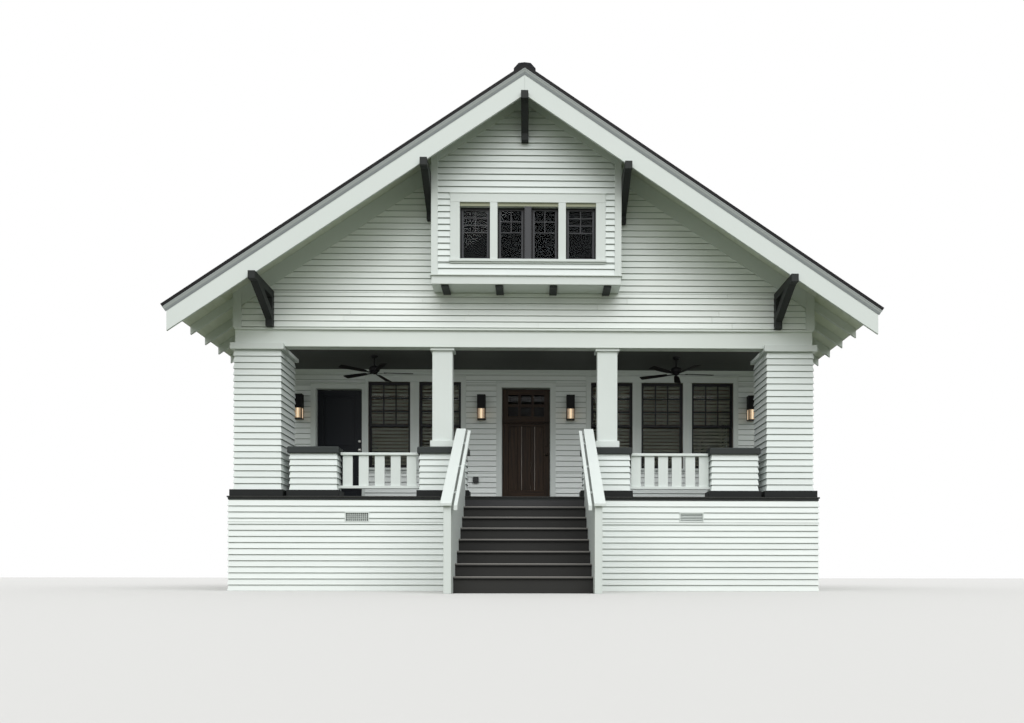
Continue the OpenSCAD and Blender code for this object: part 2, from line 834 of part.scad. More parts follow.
module door_frame(x, leaf_w, leaf_h, left_w, right_w) {
    opening_w = leaf_w + 2 * leaf_gap;
    opening_h = leaf_h + 2 * leaf_gap;
    edge = opening_w / 2;
    stop = 12;
    translate([x, front_wall_y, floor_z]) {
        difference() {
            box([-edge - jamb_t, 0, 0], [edge + jamb_t, wall_t, opening_h + jamb_t]);
            box([-edge, -eps, -eps], [edge, wall_t + eps, opening_h]);
        }
        difference() {
            box([-edge - left_w, -casing_t, 0], [edge + right_w, 0, opening_h + casing_w]);
            box([-edge, -casing_t - eps, -eps], [edge, eps, opening_h]);
        }
        for (s = [-1, 1]) translate([s * (edge - stop / 2) - stop / 2, stop, 0])
            cube([stop, wall_t - leaf_t - leaf_gap - stop, opening_h]);
        box([-edge - left_w, wall_t, 0], [-edge + leaf_gap - knuckle_r - seat, wall_t + casing_t, opening_h]);
    }
}

module casings() {
    head_h = 130;
    color("white") place() {
        row_boards(front_wins[0], front_wins[1], shared_w, head_h);
        row_boards(front_wins[2], front_wins[4], casing_w, head_h);
        at_side_windows() frame_boards(win_w, win_h, casing_w, head_h, casing_w, casing_t);
        at_rear_windows() frame_boards(win_w, win_h, casing_w, head_h, casing_w, casing_t);
        translate([0, rear_y, bay_win_z]) rotate([0, 0, 180]) {
            frame_boards(win_pitch + win_w, bay_win_h, casing_w, casing_w, casing_w, casing_t);
            translate([(win_w - win_pitch) / 2, -casing_t, -eps])
                cube([win_pitch - win_w, casing_t, bay_win_h + 2 * eps]);
        }
        bay_boards();
    }
}

module door_frames() {
    color("white") place() {
        door_frame(0, front_door_w, front_door_h, casing_w, casing_w);
        door_frame(-porch_door_x, porch_door_w, porch_door_h, casing_w, shared_w);
    }
}

// Boards round a row of front windows, from the middle of the first to the middle of the last
module row_boards(x0, x1, left_w, head_h) {
    difference() {
        translate([0, front_wall_y - casing_t, 0]) box(
            [x0 - win_w / 2 - left_w, 0, win_z - casing_w],
            [x1 + win_w / 2 + casing_w, casing_t, win_z + win_h + head_h]);
        at_front_windows() translate([-win_w / 2, -casing_t - eps, 0])
            cube([win_w, casing_t + 2 * eps, win_h]);
    }
}

module bay_boards() {
    edge_w = 153;
    sill_h = 65;
    head_h = 210;
    side = bay_side_x + bay_side_w / 2 + edge_w;
    difference() {
        box([bay_win_x - side, -bay_out - casing_t, bay_win_z - sill_h],
            [bay_win_x + side, -bay_out, bay_win_z + bay_win_h + head_h]);
        for (l = bay_lights) box([l[0] - l[1] / 2, -bay_out - casing_t - eps, bay_win_z],
            [l[0] + l[1] / 2, -bay_out + eps, bay_win_z + bay_win_h]);
    }
}

// Sash frame with an upper and a lower light, its outer face at Y = 0
module sash(w, h, split) {
    difference() {
        translate([-w / 2, 0, 0]) cube([w, sash_d, h]);
        translate([-w / 2 + sash_w, -eps, sash_w])
            cube([w - 2 * sash_w, sash_d + 2 * eps, h * split - 1.5 * sash_w]);
        translate([-w / 2 + sash_w, -eps, h * split + sash_w / 2])
            cube([w - 2 * sash_w, sash_d + 2 * eps, h * (1 - split) - 1.5 * sash_w]);
    }
}

// Panes that fill the lights of such a sash
module panes(w, h, split) {
    y = (sash_d - glass_t) / 2;
    translate([-w / 2 + sash_w, y, sash_w]) cube([w - 2 * sash_w, glass_t, h * split - 1.5 * sash_w]);
    translate([-w / 2 + sash_w, y, h * split + sash_w / 2])
        cube([w - 2 * sash_w, glass_t, h * (1 - split) - 1.5 * sash_w]);
}

sash_back = 40;
split_at = 0.5;
bay_split = 0.62;

module window_sashes() {
    color("black") place() {
        at_ground_windows() translate([0, sash_back, 0]) sash(win_w, win_h, split_at);
        for (l = bay_lights) translate([l[0], -bay_out + sash_back / 2, bay_win_z])
            sash(l[1], bay_win_h, bay_split);
        for (s = [-1, 1]) translate([s * win_pitch / 2, rear_y - sash_back, bay_win_z]) rotate([0, 0, 180])
            sash(win_w, bay_win_h, split_at);
    }
}

module window_glass() {
    color("lightsteelblue") place() {
        at_ground_windows() translate([0, sash_back, 0]) panes(win_w, win_h, split_at);
        for (l = bay_lights) translate([l[0], -bay_out + sash_back / 2, bay_win_z])
            panes(l[1], bay_win_h, bay_split);
        for (s = [-1, 1]) translate([s * win_pitch / 2, rear_y - sash_back, bay_win_z]) rotate([0, 0, 180])
            panes(win_w, bay_win_h, split_at);
    }
}

// Door leaf with its hinge knuckles and knob; the hinge edge is at X = 0
module leaf(w, h) {
    hinge_n = 3;
    hinge_h = 100;
    knob_z = 1000;
    knob_r = 28;
    knob_in = 65;
    knob = [[0, -70], [14, -70], [knob_r, -60], [knob_r, -48], [10, -38]];
    hinge_low = 200;
    hinge_step = (h - 2 * hinge_low - hinge_h) / (hinge_n - 1);
    translate([0, -knuckle_r - leaf_t, leaf_gap]) difference() {
        cube([w, leaf_t, h]);
        children();
    }
    for (i = [0:hinge_n - 1]) translate([0, 0, leaf_gap + hinge_low + i * hinge_step]) {
        cylinder(r = knuckle_r, h = hinge_h, $fn = 24);
        translate([0, -knuckle_r - eps, 0]) cube([40, knuckle_r / 2 + eps, hinge_h]);
    }
    translate([w - knob_in, -knuckle_r - leaf_t / 2, knob_z]) rotate([90, 0, 0]) rotate_extrude($fn = 32)
        polygon(concat(knob, [for (i = [len(knob) - 1:-1:0]) [knob[i][0], -knob[i][1]]]));
}

// Recess on both faces of a leaf, from its lowest to its highest corner in X and Z
module recess(x0, x1, z0, z1) {
    depth = 12;
    translate([x0, -eps, z0]) cube([x1 - x0, depth + eps, z1 - z0]);
    translate([x0, leaf_t - depth, z0]) cube([x1 - x0, depth + eps, z1 - z0]);
}

// Three tall panels under a shelf, with two rows of three small lights over it
module front_door() {
    cols = 3;
    rows = 2;
    stile = 120;
    mullion = 70;
    bar = 38;
    panel_z0 = 300;
    panel_z1 = 1500;
    light_z = 1640;
    light_h = 205;
    panel_w = (front_door_w - 2 * stile - (cols - 1) * mullion) / cols;
    light_w = (front_door_w - 2 * stile - (cols - 1) * bar) / cols;
    color("saddlebrown") place() translate([front_hinge_x, hinge_y, floor_z])
        leaf(front_door_w, front_door_h) for (i = [0:cols - 1]) {
            panel_x = stile + i * (panel_w + mullion);
            light_x = stile + i * (light_w + bar);
            recess(panel_x, panel_x + panel_w, panel_z0, panel_z1);
            for (j = [0:rows - 1]) {
                row_z = light_z + j * (light_h + bar);
                recess(light_x, light_x + light_w, row_z, row_z + light_h);
            }
        }
}

// Two panels, the taller one over the shorter one
module porch_door() {
    stile = 120;
    foot = 250;
    low_top = 950;
    rail = 150;
    color("black") place() translate([porch_hinge_x, hinge_y, floor_z])
        leaf(porch_door_w, porch_door_h) {
            recess(stile, porch_door_w - stile, foot, low_top);
            recess(stile, porch_door_w - stile, low_top + rail, porch_door_h - stile);
        }
}

// Wall lantern against the house wall
module lantern() {
    plate_d = 20;
    roof_h = 60;
    base_h = 40;
    bar = 12;
    top = deck_z + lantern_top;
    translate([-lantern_w / 2, -lantern_w, 0]) {
        translate([lantern_w / 4, lantern_w - plate_d, top - lantern_h + base_h])
            cube([lantern_w / 2, plate_d, lantern_h - base_h]);
        translate([0, 0, top - roof_h]) cube([lantern_w, lantern_w - plate_d + eps, roof_h]);
        translate([0, 0, top - lantern_h]) cube([lantern_w, lantern_w - plate_d + eps, base_h]);
        translate([lantern_w / 4, lantern_w - plate_d - eps, top - lantern_h + base_h / 2])
            cube([lantern_w / 2, plate_d + eps, base_h]);
        for (x = [0, lantern_w - bar]) for (y = [0, lantern_w - plate_d - bar])
            translate([x, y, top - lantern_h]) cube([bar, bar, lantern_h]);
    }
}

module wall_lanterns() {
    color("black") place() both_sides() for (x = [lantern_in_x, lantern_out_x])
        translate([x, front_wall_y, 0]) lantern();
}

// Ceiling fans
module fan_mounts() {
    motor_low = fan_z + hub_h / 2 + seat;
    motor = [
        [0, 0], [0.72 * motor_r, 0], [0.95 * motor_r, 0.14 * motor_h], [motor_r, 0.3 * motor_h],
        [motor_r, 0.62 * motor_h], [0.86 * motor_r, 0.8 * motor_h], [0.4 * motor_r, 0.92 * motor_h],
        [0.3 * motor_r, motor_h], [0, motor_h]
    ];
    color("black") place() both_sides() translate([fan_x, fan_y, 0]) {
        translate([0, 0, ceiling_z - canopy_h])
            cylinder(r1 = 0.6 * canopy_r, r2 = canopy_r, h = canopy_h, $fn = 40);
        translate([0, 0, motor_low + motor_h / 2])
            cylinder(r = rod_r, h = ceiling_z - motor_low - motor_h / 2 - eps, $fn = 24);
        translate([0, 0, motor_low]) rotate_extrude($fn = 48) polygon(motor);
    }
}

// Hub with pitched blades on flat arms
module fan_rotor(turn) {
    arm_w = 40;
    arm_end = 0.3 * fan_r;
    root = 0.24 * fan_r;
    blade_pitch = 10;
    translate([0, 0, fan_z - hub_h / 2]) cylinder(r = hub_r, h = hub_h, $fn = 40);
    for (i = [0:fan_n - 1])
        translate([0, 0, fan_z]) rotate([0, 0, turn + i * 360 / fan_n]) rotate([blade_pitch, 0, 0]) {
            translate([0, -arm_w / 2, -blade_t / 2]) cube([arm_end, arm_w, blade_t]);
            translate([0, 0, -blade_t / 2]) linear_extrude(blade_t) polygon([
                [root, -0.3 * blade_w], [1.2 * root, -0.4 * blade_w],
                [0.96 * fan_r, -0.5 * blade_w], [0.985 * fan_r, -0.4 * blade_w],
                [0.985 * fan_r, 0.4 * blade_w], [0.96 * fan_r, 0.5 * blade_w],
                [1.2 * root, 0.4 * blade_w], [root, 0.3 * blade_w]
            ]);
        }
}

fan_turn = 6;

module fan_left() {
    color("black") place() translate([-fan_x, fan_y, 0]) fan_rotor(fan_turn);
}

module fan_right() {
    color("black") place() translate([fan_x, fan_y, 0]) fan_rotor(fan_turn);
}

foundation_front();
foundation_sides();
foundation_rear();
main_floor();
porch_floor();
stair_treads();
stair_frame();
stair_walls();
stair_rails();
pillars();
pillar_caps();
piers();
pier_caps();
plinths();
porch_posts();
porch_railings();
porch_beam();
porch_ceiling();
front_wall_left();
front_wall_middle();
front_wall_right();
front_wall_header();
side_walls();
rear_wall();
front_gable();
rear_gable();
gable_bay();
bay_corbels();
upper_floor();
roof_left();
roof_right();
ridge_cap();
bargeboards();
rafter_tails();
gable_brackets();
casings();
door_frames();
window_sashes();
window_glass();
front_door();
porch_door();
wall_lanterns();
fan_mounts();
fan_left();
fan_right();
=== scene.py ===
"""Surface model of a white wooden bungalow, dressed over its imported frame.

All sizes are in metres with +Z up. House coordinates are used throughout: X = 0 is the middle of the house,
Y = 0 is the plane of the porch pillars' faces, the street lies towards -Y, and Z = 0 is the foot of the stair.
One offset along Y turns them into the frame's coordinates when a mesh is made.
"""

import logging
import math
from dataclasses import dataclass, field, replace
from enum import Enum
from typing import Callable, Optional, Sequence

import bmesh
import bpy
import numpy as np
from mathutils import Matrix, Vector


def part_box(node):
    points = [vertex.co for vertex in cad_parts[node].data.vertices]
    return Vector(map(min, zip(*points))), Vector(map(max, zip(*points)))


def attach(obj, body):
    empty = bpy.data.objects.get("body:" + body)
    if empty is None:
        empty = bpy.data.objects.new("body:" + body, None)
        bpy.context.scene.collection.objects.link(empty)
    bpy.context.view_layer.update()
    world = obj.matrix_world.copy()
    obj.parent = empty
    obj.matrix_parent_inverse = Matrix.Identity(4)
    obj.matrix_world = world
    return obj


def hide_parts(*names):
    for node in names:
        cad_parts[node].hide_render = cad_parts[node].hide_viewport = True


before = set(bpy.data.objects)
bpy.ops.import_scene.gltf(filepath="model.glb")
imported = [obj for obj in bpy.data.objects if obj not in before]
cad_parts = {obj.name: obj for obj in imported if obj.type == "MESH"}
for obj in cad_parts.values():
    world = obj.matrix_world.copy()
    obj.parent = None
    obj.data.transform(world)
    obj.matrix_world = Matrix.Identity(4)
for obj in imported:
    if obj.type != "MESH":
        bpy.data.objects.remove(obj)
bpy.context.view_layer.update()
FRONT_Y = float(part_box("pillars")[0][1])
LOG = logging.getLogger("bungalow")

Array = np.ndarray
Place = Callable[[Array, Array, Array], Array]
Span = tuple[float, float]
Edges = tuple[float, float, float, float]  # two ends of an opening or a sash, then its foot and its top
Tree = bpy.types.NodeTree
Node = bpy.types.Node
Socket = bpy.types.NodeSocket
Object = bpy.types.Object

SKY = 0.70  # what the white surroundings give to diffuse light
KEYS = (("Soft key, right", 1.45, 30.0), ("Soft key, left", 1.15, -22.0))  # name, energy and turn
KEY_TILT, KEY_ANGLE = 48, 50  # degrees from straight down, and width of the light
BOUNCE = "5C6148"  # colour that the ground throws back under the eaves
FLOOR_TONE, FLOOR_REACH = "D0D0CE", 240.0
PORCH_FILL = 10.0  # watts of the strip behind the beam
LENS, SHIFT = 29.215, (-0.03188, 0.21066)  # millimetres on 36 mm film, and how far the picture slides on it
EYE, EYE_TURN = (0.139, -13.8, 0.228), (-0.00112, -0.01389)  # place of the camera, its roll and its turn
HAIR, SLIT = 0.0004, 0.0003  # gaps that keep the faces of two parts from lying in one plane


@dataclass(frozen=True)
class House:
    """Main sizes of the house, in metres, the same as those of its solids."""

    half: float = 4.79
    wall_y: float = 2.15
    rear_y: float = 12.15
    wall: float = 0.15
    deck: float = 1.56
    floor: float = 1.60
    base_proud: float = 0.07
    deck_front: float = -0.10
    pitch: float = 0.669
    wall_top: float = 4.920
    eave: float = 5.61
    barge_end: float = 5.525
    barge: float = 0.40
    rake: float = 0.287
    over: float = 0.86
    board: float = 0.038
    crown: float = 0.024
    beam: float = 4.042
    beam_top: float = 4.342
    ceiling: float = 4.19
    roof_t: float = 0.062
    bay_half: float = 1.50
    bay_x: float = 0.025
    bay_win: float = 0.05
    bay_out: float = 0.42
    bay_low: float = 4.938
    bay_sill: float = 5.335
    bay_glass: float = 0.86
    bay_trim: float = 1.248
    bay_lights: tuple[float, ...] = (-0.8525, -0.2725, 0.2725, 0.8525)

    @property
    def ridge(self) -> float:
        """Height of the underside of the roof at the ridge."""
        return self.wall_top + self.pitch * self.half

    def roof(self, x: Array) -> Array:
        """Height of the underside of the roof at a distance x from the ridge."""
        return self.ridge - self.pitch * np.abs(x)

    def edge(self, lift: Array) -> Array:
        """Distance from the ridge of the roof's square-cut edge, at a height over its underside."""
        return self.eave - (self.roof_t - lift) * self.pitch / (1 + self.pitch**2)


H = House()


def srgb(code: str) -> Edges:
    """Turns an sRGB hex colour into linear red, green, blue and a full alpha.

    Args:
        code: six hex digits.

    Returns:
        The linear colour with alpha 1.
    """
    parts = np.array([int(code[i : i + 2], 16) for i in (0, 2, 4)]) / 255.0
    linear = np.where(parts <= 0.04045, parts / 12.92, ((parts + 0.055) / 1.055) ** 2.4)
    return (*map(float, linear), 1.0)


def add_node(tree: Tree, kind: str, inputs: Optional[dict] = None, **settings) -> Node:
    """Adds one shader node with its settings and its links.

    Args:
        tree: the material's or the world's node tree.
        kind: the node's type name after "ShaderNode".
        inputs: socket names or numbers, each with a value or with the output socket that feeds it.
        **settings: the node's own options.

    Returns:
        The new node.
    """
    made = tree.nodes.new("ShaderNode" + kind)
    for key, value in settings.items():
        setattr(made, key, value)
    for key, value in (inputs or {}).items():
        if isinstance(value, Socket):
            tree.links.new(value, made.inputs[key])
        else:
            made.inputs[key].default_value = value
    return made


@dataclass(frozen=True)
class Finish:
    """A finish: the common name of the material, the name of its slot and its colour."""

    name: str
    slot: str
    colour: str
    rough: float = 0.5
    shine: float = field(default=0.5, kw_only=True)

    def material(self) -> bpy.types.Material:
        """Makes the material once and hands the same one out afterwards."""
        known = bpy.data.materials.get(self.name)
        if known is not None:
            return known
        made = bpy.data.materials.new(self.name)
        made.use_nodes = True
        shader = made.node_tree.nodes["Principled BSDF"]
        shader.inputs["Base Color"].default_value = made.diffuse_color = srgb(self.colour)
        shader.inputs["Roughness"].default_value = self.rough
        shader.inputs["Specular IOR Level"].default_value = self.shine
        self.dress(made.node_tree, shader)
        return made

    def dress(self, tree: Tree, shader: Node) -> None:
        """Adds the pattern, relief and gloss of the finish to its shader."""
        raise NotImplementedError

    @staticmethod
    def bump(tree: Tree, shader: Node, height: Socket, depth: float) -> None:
        """Gives the shader a relief of that depth in metres, from a height between 0 and 1."""
        relief = add_node(tree, "Bump", {"Height": height, "Distance": depth, "Strength": 0.8})
        tree.links.new(relief.outputs["Normal"], shader.inputs["Normal"])

    @staticmethod
    def shades(tree: Tree, mask: Socket, low: float, high: float) -> Socket:
        """Maps a mask from 0..1 to low..high."""
        return add_node(tree, "MapRange", {"Value": mask, "To Min": low, "To Max": high}).outputs["Result"]


@dataclass(frozen=True)
class Paint(Finish):
    """Brushed satin paint on softwood: even colour, faint strokes along each board, a little grime in patches."""

    grime: str = "8C948C"
    grime_share: float = 0.10
    tone: float = 0.03
    # colour mixed in by the wear attribute: painted shade under clapboard butts and on the barge moulding, and the pale
    # stair noses
    edge: Optional[str] = None

    def dress(self, tree: Tree, shader: Node) -> None:
        """Strokes 4 mm wide and 0.4 m long, patches of grime about 0.7 m wide, and a shade for each board."""
        grain = add_node(tree, "Attribute", attribute_name="grain").outputs["Vector"]
        place = add_node(tree, "TexCoord").outputs["Object"]
        stretch = add_node(tree, "Mapping", {"Vector": grain, "Scale": (2.5, 1 / 0.004, 1 / 0.004)}).outputs["Vector"]
        strokes = add_node(tree, "TexNoise", {"Vector": stretch, "Scale": 1.0, "Detail": 3.0}).outputs["Fac"]
        patches = add_node(tree, "TexNoise", {"Vector": place, "Scale": 1.4, "Detail": 6.0, "Roughness": 0.6})
        speck = add_node(tree, "TexNoise", {"Vector": place, "Scale": 60.0, "Detail": 2.0}).outputs["Fac"]
        board = add_node(tree, "Attribute", attribute_name="tone").outputs["Fac"]
        share = self.shades(tree, patches.outputs["Fac"], -0.35, 1.1)
        clean = {0: self.grime_share, "A": srgb(self.colour), "B": srgb(self.grime)}
        grimy = add_node(tree, "Mix", clean, data_type="RGBA").outputs[2]
        base = add_node(tree, "Mix", {0: share, "A": srgb(self.colour), "B": grimy}, data_type="RGBA").outputs[2]
        shade = {0: self.shades(tree, board, 1 - self.tone, 1 + self.tone), 1: self.shades(tree, speck, 0.985, 1.015)}
        bright = add_node(tree, "Math", shade, operation="MULTIPLY").outputs[0]
        colour = add_node(tree, "VectorMath", {0: base, "Scale": bright}, operation="SCALE").outputs[0]
        # edge colour where the attribute asks for it: painted shade on siding and mouldings, scuffing and a painted
        # highlight on stair noses
        if self.edge is not None:
            wear = add_node(tree, "Attribute", attribute_name="wear").outputs["Fac"]
            colour = add_node(tree, "Mix", {0: wear, "A": colour, "B": srgb(self.edge)}, data_type="RGBA").outputs[2]
        tree.links.new(colour, shader.inputs["Base Color"])
        tree.links.new(self.shades(tree, strokes, self.rough - 0.08, self.rough + 0.08), shader.inputs["Roughness"])
        self.bump(tree, shader, strokes, 0.00035)


@dataclass(frozen=True)
class Stain(Finish):
    """Stained and varnished wood: dark streaks along the grain under a clear coat."""

    dark: str = "1A100B"
    coat: float = 0.35

    def dress(self, tree: Tree, shader: Node) -> None:
        """Growth rings 12 mm apart across the board, drawn out along it, with pores 1.5 mm wide."""
        grain = add_node(tree, "Attribute", attribute_name="grain").outputs["Vector"]
        tone = add_node(tree, "Attribute", attribute_name="tone").outputs["Fac"]
        wide = add_node(tree, "Mapping", {"Vector": grain, "Scale": (1.6, 1 / 0.012, 1 / 0.012)}).outputs["Vector"]
        fine = add_node(tree, "Mapping", {"Vector": grain, "Scale": (14.0, 650.0, 650.0)}).outputs["Vector"]
        rings = add_node(tree, "TexNoise", {"Vector": wide, "Scale": 1.0, "Detail": 5.0, "Distortion": 0.6})
        pores = add_node(tree, "TexNoise", {"Vector": fine, "Scale": 1.0, "Detail": 2.0}).outputs["Fac"]
        both = {0: rings.outputs["Fac"], 1: self.shades(tree, pores, -0.2, 0.2)}
        value = add_node(tree, "Math", both, operation="ADD").outputs[0]
        reach = {"Value": value, "From Min": 0.32, "From Max": 0.68, "To Min": 0.0, "To Max": 1.0}
        mask = add_node(tree, "MapRange", reach).outputs["Result"]
        mixed = {0: mask, "A": srgb(self.dark), "B": srgb(self.colour)}
        streaks = add_node(tree, "Mix", mixed, data_type="RGBA").outputs[2]
        shade = {0: streaks, "Scale": self.shades(tree, tone, 0.82, 1.18)}
        shaded = add_node(tree, "VectorMath", shade, operation="SCALE")
        tree.links.new(shaded.outputs[0], shader.inputs["Base Color"])
        shader.inputs["Coat Weight"].default_value = self.coat
        shader.inputs["Coat Roughness"].default_value = 0.18
        self.bump(tree, shader, mask, 0.0003)


@dataclass(frozen=True)
class Granules(Finish):
    """Asphalt shingle or painted masonry: a grainy face, each unit with its own shade."""

    grit: float = 0.006
    contrast: float = 0.45
    tone: float = 0.22
    relief: float = 0.0015

    def dress(self, tree: Tree, shader: Node) -> None:
        """Grit drawn 6 mm wide, coarser than the real 2 mm so that it shows, over a soft mottle 0.3 m wide."""
        place = add_node(tree, "TexCoord").outputs["Object"]
        tone = add_node(tree, "Attribute", attribute_name="tone").outputs["Fac"]
        grit = add_node(tree, "TexVoronoi", {"Vector": place, "Scale": 1 / self.grit})
        soft = add_node(tree, "TexNoise", {"Vector": place, "Scale": 3.3, "Detail": 4.0}).outputs["Fac"]
        speck = add_node(tree, "SeparateColor", {0: grit.outputs["Color"]}).outputs[0]
        unit = {
            0: self.shades(tree, speck, 1 - self.contrast, 1 + self.contrast),
            1: self.shades(tree, tone, 1 - self.tone, 1 + self.tone),
        }
        one = add_node(tree, "Math", unit, operation="MULTIPLY").outputs[0]
        two = add_node(tree, "Math", {0: one, 1: self.shades(tree, soft, 0.8, 1.2)}, operation="MULTIPLY").outputs[0]
        shaded = add_node(tree, "VectorMath", {0: srgb(self.colour)[:3], "Scale": two}, operation="SCALE")
        tree.links.new(shaded.outputs[0], shader.inputs["Base Color"])
        self.bump(tree, shader, grit.outputs["Distance"], self.relief)


@dataclass(frozen=True)
class Metal(Finish):
    """Powder-coated or lacquered metal: an even skin with a very fine orange peel."""

    metallic: float = 0.0

    def dress(self, tree: Tree, shader: Node) -> None:
        """Peel 3 mm wide and a few hundredths of a millimetre deep, with handling marks 40 mm wide in the gloss."""
        place = add_node(tree, "TexCoord").outputs["Object"]
        peel = add_node(tree, "TexNoise", {"Vector": place, "Scale": 330.0, "Detail": 1.0}).outputs["Fac"]
        marks = add_node(tree, "TexNoise", {"Vector": place, "Scale": 25.0, "Detail": 4.0}).outputs["Fac"]
        shader.inputs["Metallic"].default_value = self.metallic
        tree.links.new(self.shades(tree, marks, self.rough - 0.1, self.rough + 0.1), shader.inputs["Roughness"])
        self.bump(tree, shader, peel, 0.00006)


@dataclass(frozen=True)
class Pane(Finish):
    """Float glass: clear, smooth, with a barely uneven face."""

    def dress(self, tree: Tree, shader: Node) -> None:
        """Waves 0.25 m wide bend the reflection a little."""
        place = add_node(tree, "TexCoord").outputs["Object"]
        waves = add_node(tree, "TexNoise", {"Vector": place, "Scale": 4.0, "Detail": 1.0}).outputs["Fac"]
        shader.inputs["Transmission Weight"].default_value = 1.0
        shader.inputs["IOR"].default_value = 1.16  # low, as the white surroundings would veil the rooms
        self.bump(tree, shader, waves, 0.0008)


@dataclass(frozen=True)
class Glow(Finish):
    """Warm lamp glass: bright before the lamp, a deep amber towards its edges."""

    strength: float = 4.0

    def dress(self, tree: Tree, shader: Node) -> None:
        """Amber clouds 30 mm wide in the frosting, and each point's own share of the glow."""
        place = add_node(tree, "TexCoord").outputs["Object"]
        clouds = add_node(tree, "TexNoise", {"Vector": place, "Scale": 33.0, "Detail": 2.0}).outputs["Fac"]
        near = add_node(tree, "Attribute", attribute_name="wear").outputs["Fac"]
        share = add_node(tree, "Math", {0: near, 1: self.shades(tree, clouds, -0.1, 0.1)}, operation="ADD").outputs[0]
        mixed = {0: share, "A": srgb("38220C"), "B": srgb(self.colour)}
        warm = add_node(tree, "Mix", mixed, data_type="RGBA").outputs[2]
        tree.links.new(warm, shader.inputs["Base Color"])
        tree.links.new(warm, shader.inputs["Emission Color"])
        shader.inputs["Emission Strength"].default_value = self.strength


# Brushed satin paint, white: broad soft highlights, and a grey-green painted shadow under each course's edge.
SATIN = "Exterior satin paint on "
WHITE = Paint(SATIN + "cedar boards, white", "white_paint", "E5EBE9", 0.55, edge="88918A", shine=0.3)
# Painted light: the same white paint, made lighter on the gable to offset the shade under the overhang.
GABLE_PAINTED_LIGHTER = Paint(SATIN + "cedar gable boards, fresh white", "white_paint", "EDF3F0", 0.55, edge="8C958E", shine=0.3)
# Painted shade: the same white paint, made darker on the pillars, piers and bay, where the light falls brighter.
WHITE_PAINTED_DARKER = Paint(SATIN + "cedar pillar boards, white", "white_paint", "DDE4E2", 0.55, edge="858E87", shine=0.3)
TRIM = Paint(SATIN + "pine trim, white", "white_paint", "D3DAD7", grime_share=0.07, tone=0.015, shine=0.3)
BEAM = replace(TRIM, name=SATIN + "pine beam casing, white", colour="DDE4E0")
# Painted shade: the barge moulding's white paint is greyed for the shade under the roof's edge, darker still on its
# lower half.
CROWN_PAINTED_SHADE = replace(
    WHITE, name="Weathered satin paint on pine moulding, grey white", colour="A3A9A8", grime_share=0.2, edge="868C8E"
)
SHADED = Paint("Satin paint in the head's shade, olive white", "white_paint", "9C9F88", 0.6, grime_share=0.2, shine=0.2)
SOFFIT = Paint(SATIN + "planed roof planks, white", "white_paint", "E3E9DC", 0.55, grime_share=0.16)
# Dark satin paint: dull, so that dark timber keeps its colour against the sky.
CHARCOAL = Paint(SATIN + "fir, charcoal", "charcoal_paint", "292C2B", 0.5, "3A3D3C", 0.2, 0.08, shine=0.15)
BASE = replace(CHARCOAL, name=SATIN + "fir plinths, near black", colour="1D1F1F", grime="303232")
CAP = replace(CHARCOAL, name=SATIN + "sloping caps, charcoal", colour="313534", grime="43474A")
# Floor enamel, pale along the noses: scuffed where feet wear it, and a painted highlight on the rounded edge.
ENAMEL = "Porch enamel on "
STEP = Paint(
    ENAMEL + "fir boards, dark grey", "stair_paint", "282828", 0.55, "444342", 0.3, 0.08, edge="85837F", shine=0.15
)
STEP_PLAIN = Paint(ENAMEL + "fir risers, dark grey", "stair_paint", "2D2D2C", 0.55, "403F3D", 0.3, 0.06, shine=0.15)
# The uppermost riser takes a lighter grey than the risers below it.
TOP_RISER = replace(STEP_PLAIN, name=ENAMEL + "the uppermost riser, scuffed grey", colour="3A3A3B", grime="4A4A4A")
DECK = Paint(ENAMEL + "fir flooring, dark grey", "stair_paint", "2C2D2C", 0.5, "4A4945", 0.3, 0.1, shine=0.2)
CEILING = Paint(
    "Satin paint on beaded pine ceiling, charcoal", "ceiling_paint", "4A4C4A", 0.5, "565856", 0.2, 0.06, shine=0.15
)
# Semi-gloss on sashes and the porch door: smoother than the walls, with narrow highlights.
SASH = Paint("Semi-gloss paint on pine sash, dark grey", "sash_paint", "151516", 0.4, "222224", 0.15, 0.04, shine=0.2)
# Painted light: the same sash paint, lighter on the bay, whose sashes stand in fuller light than the porch's.
SASH_PAINTED_LIT = Paint(
    "Faded semi-gloss paint on pine sash, grey", "sash_paint", "47484B", 0.45, "38393B", 0.2, 0.05, shine=0.2
)
DOOR_PAINT = Paint(
    "Semi-gloss paint on a flush door, near black", "door_paint", "1B1E23", 0.4, "22262B", 0.15, 0.03, shine=0.15
)
# Indoors: dull plaster painted darker with the shade of the closed rooms, and blinds that show as slats behind the
# glass.
PLASTER_PAINTED_SHADE = Paint("Matt emulsion on plaster, warm grey", "white_paint", "8F8A80", 0.75, "77736A", 0.2, 0.02)
# Painted reflection: the slats are painted lighter than their dark taupe, standing in for the reflection that the glass
# leaves out.
SLATS_PAINTED_LIGHTER = Paint(
    "Satin lacquer on aluminium blind slats, dark taupe", "black_metal", "A0998B", 0.5, "726D62", 0.3, 0.1, shine=0.2
)
BLACKOUT = Paint("Woven blackout blind, charcoal", "black_metal", "0F1012", 0.9, "17181B", 0.3, 0.05, shine=0.05)
# Wood under stain: the grain shows as streaks, under oil or a thin coat of varnish.
OAK = Stain("Oiled oak floorboards", "floor_boards", "9A6E44", 0.40, "6E4A2B")
MAHOGANY = Stain("Dark stained and varnished mahogany", "stained_wood", "3A2A1B", 0.5, "0D0806", 0.03, shine=0.15)
# Painted highlight: a pale bead where a panel's moulding catches the light.
BEAD_HIGHLIGHT = Stain("Varnished mahogany bead, painted pale as a highlight", "stained_wood", "A09890", 0.35, "6A625A", 0.2)
FAN_WOOD = Stain("Stained plywood fan blades, black-brown", "black_metal", "0E0B0A", 0.5, "070505", 0.0, shine=0.15)
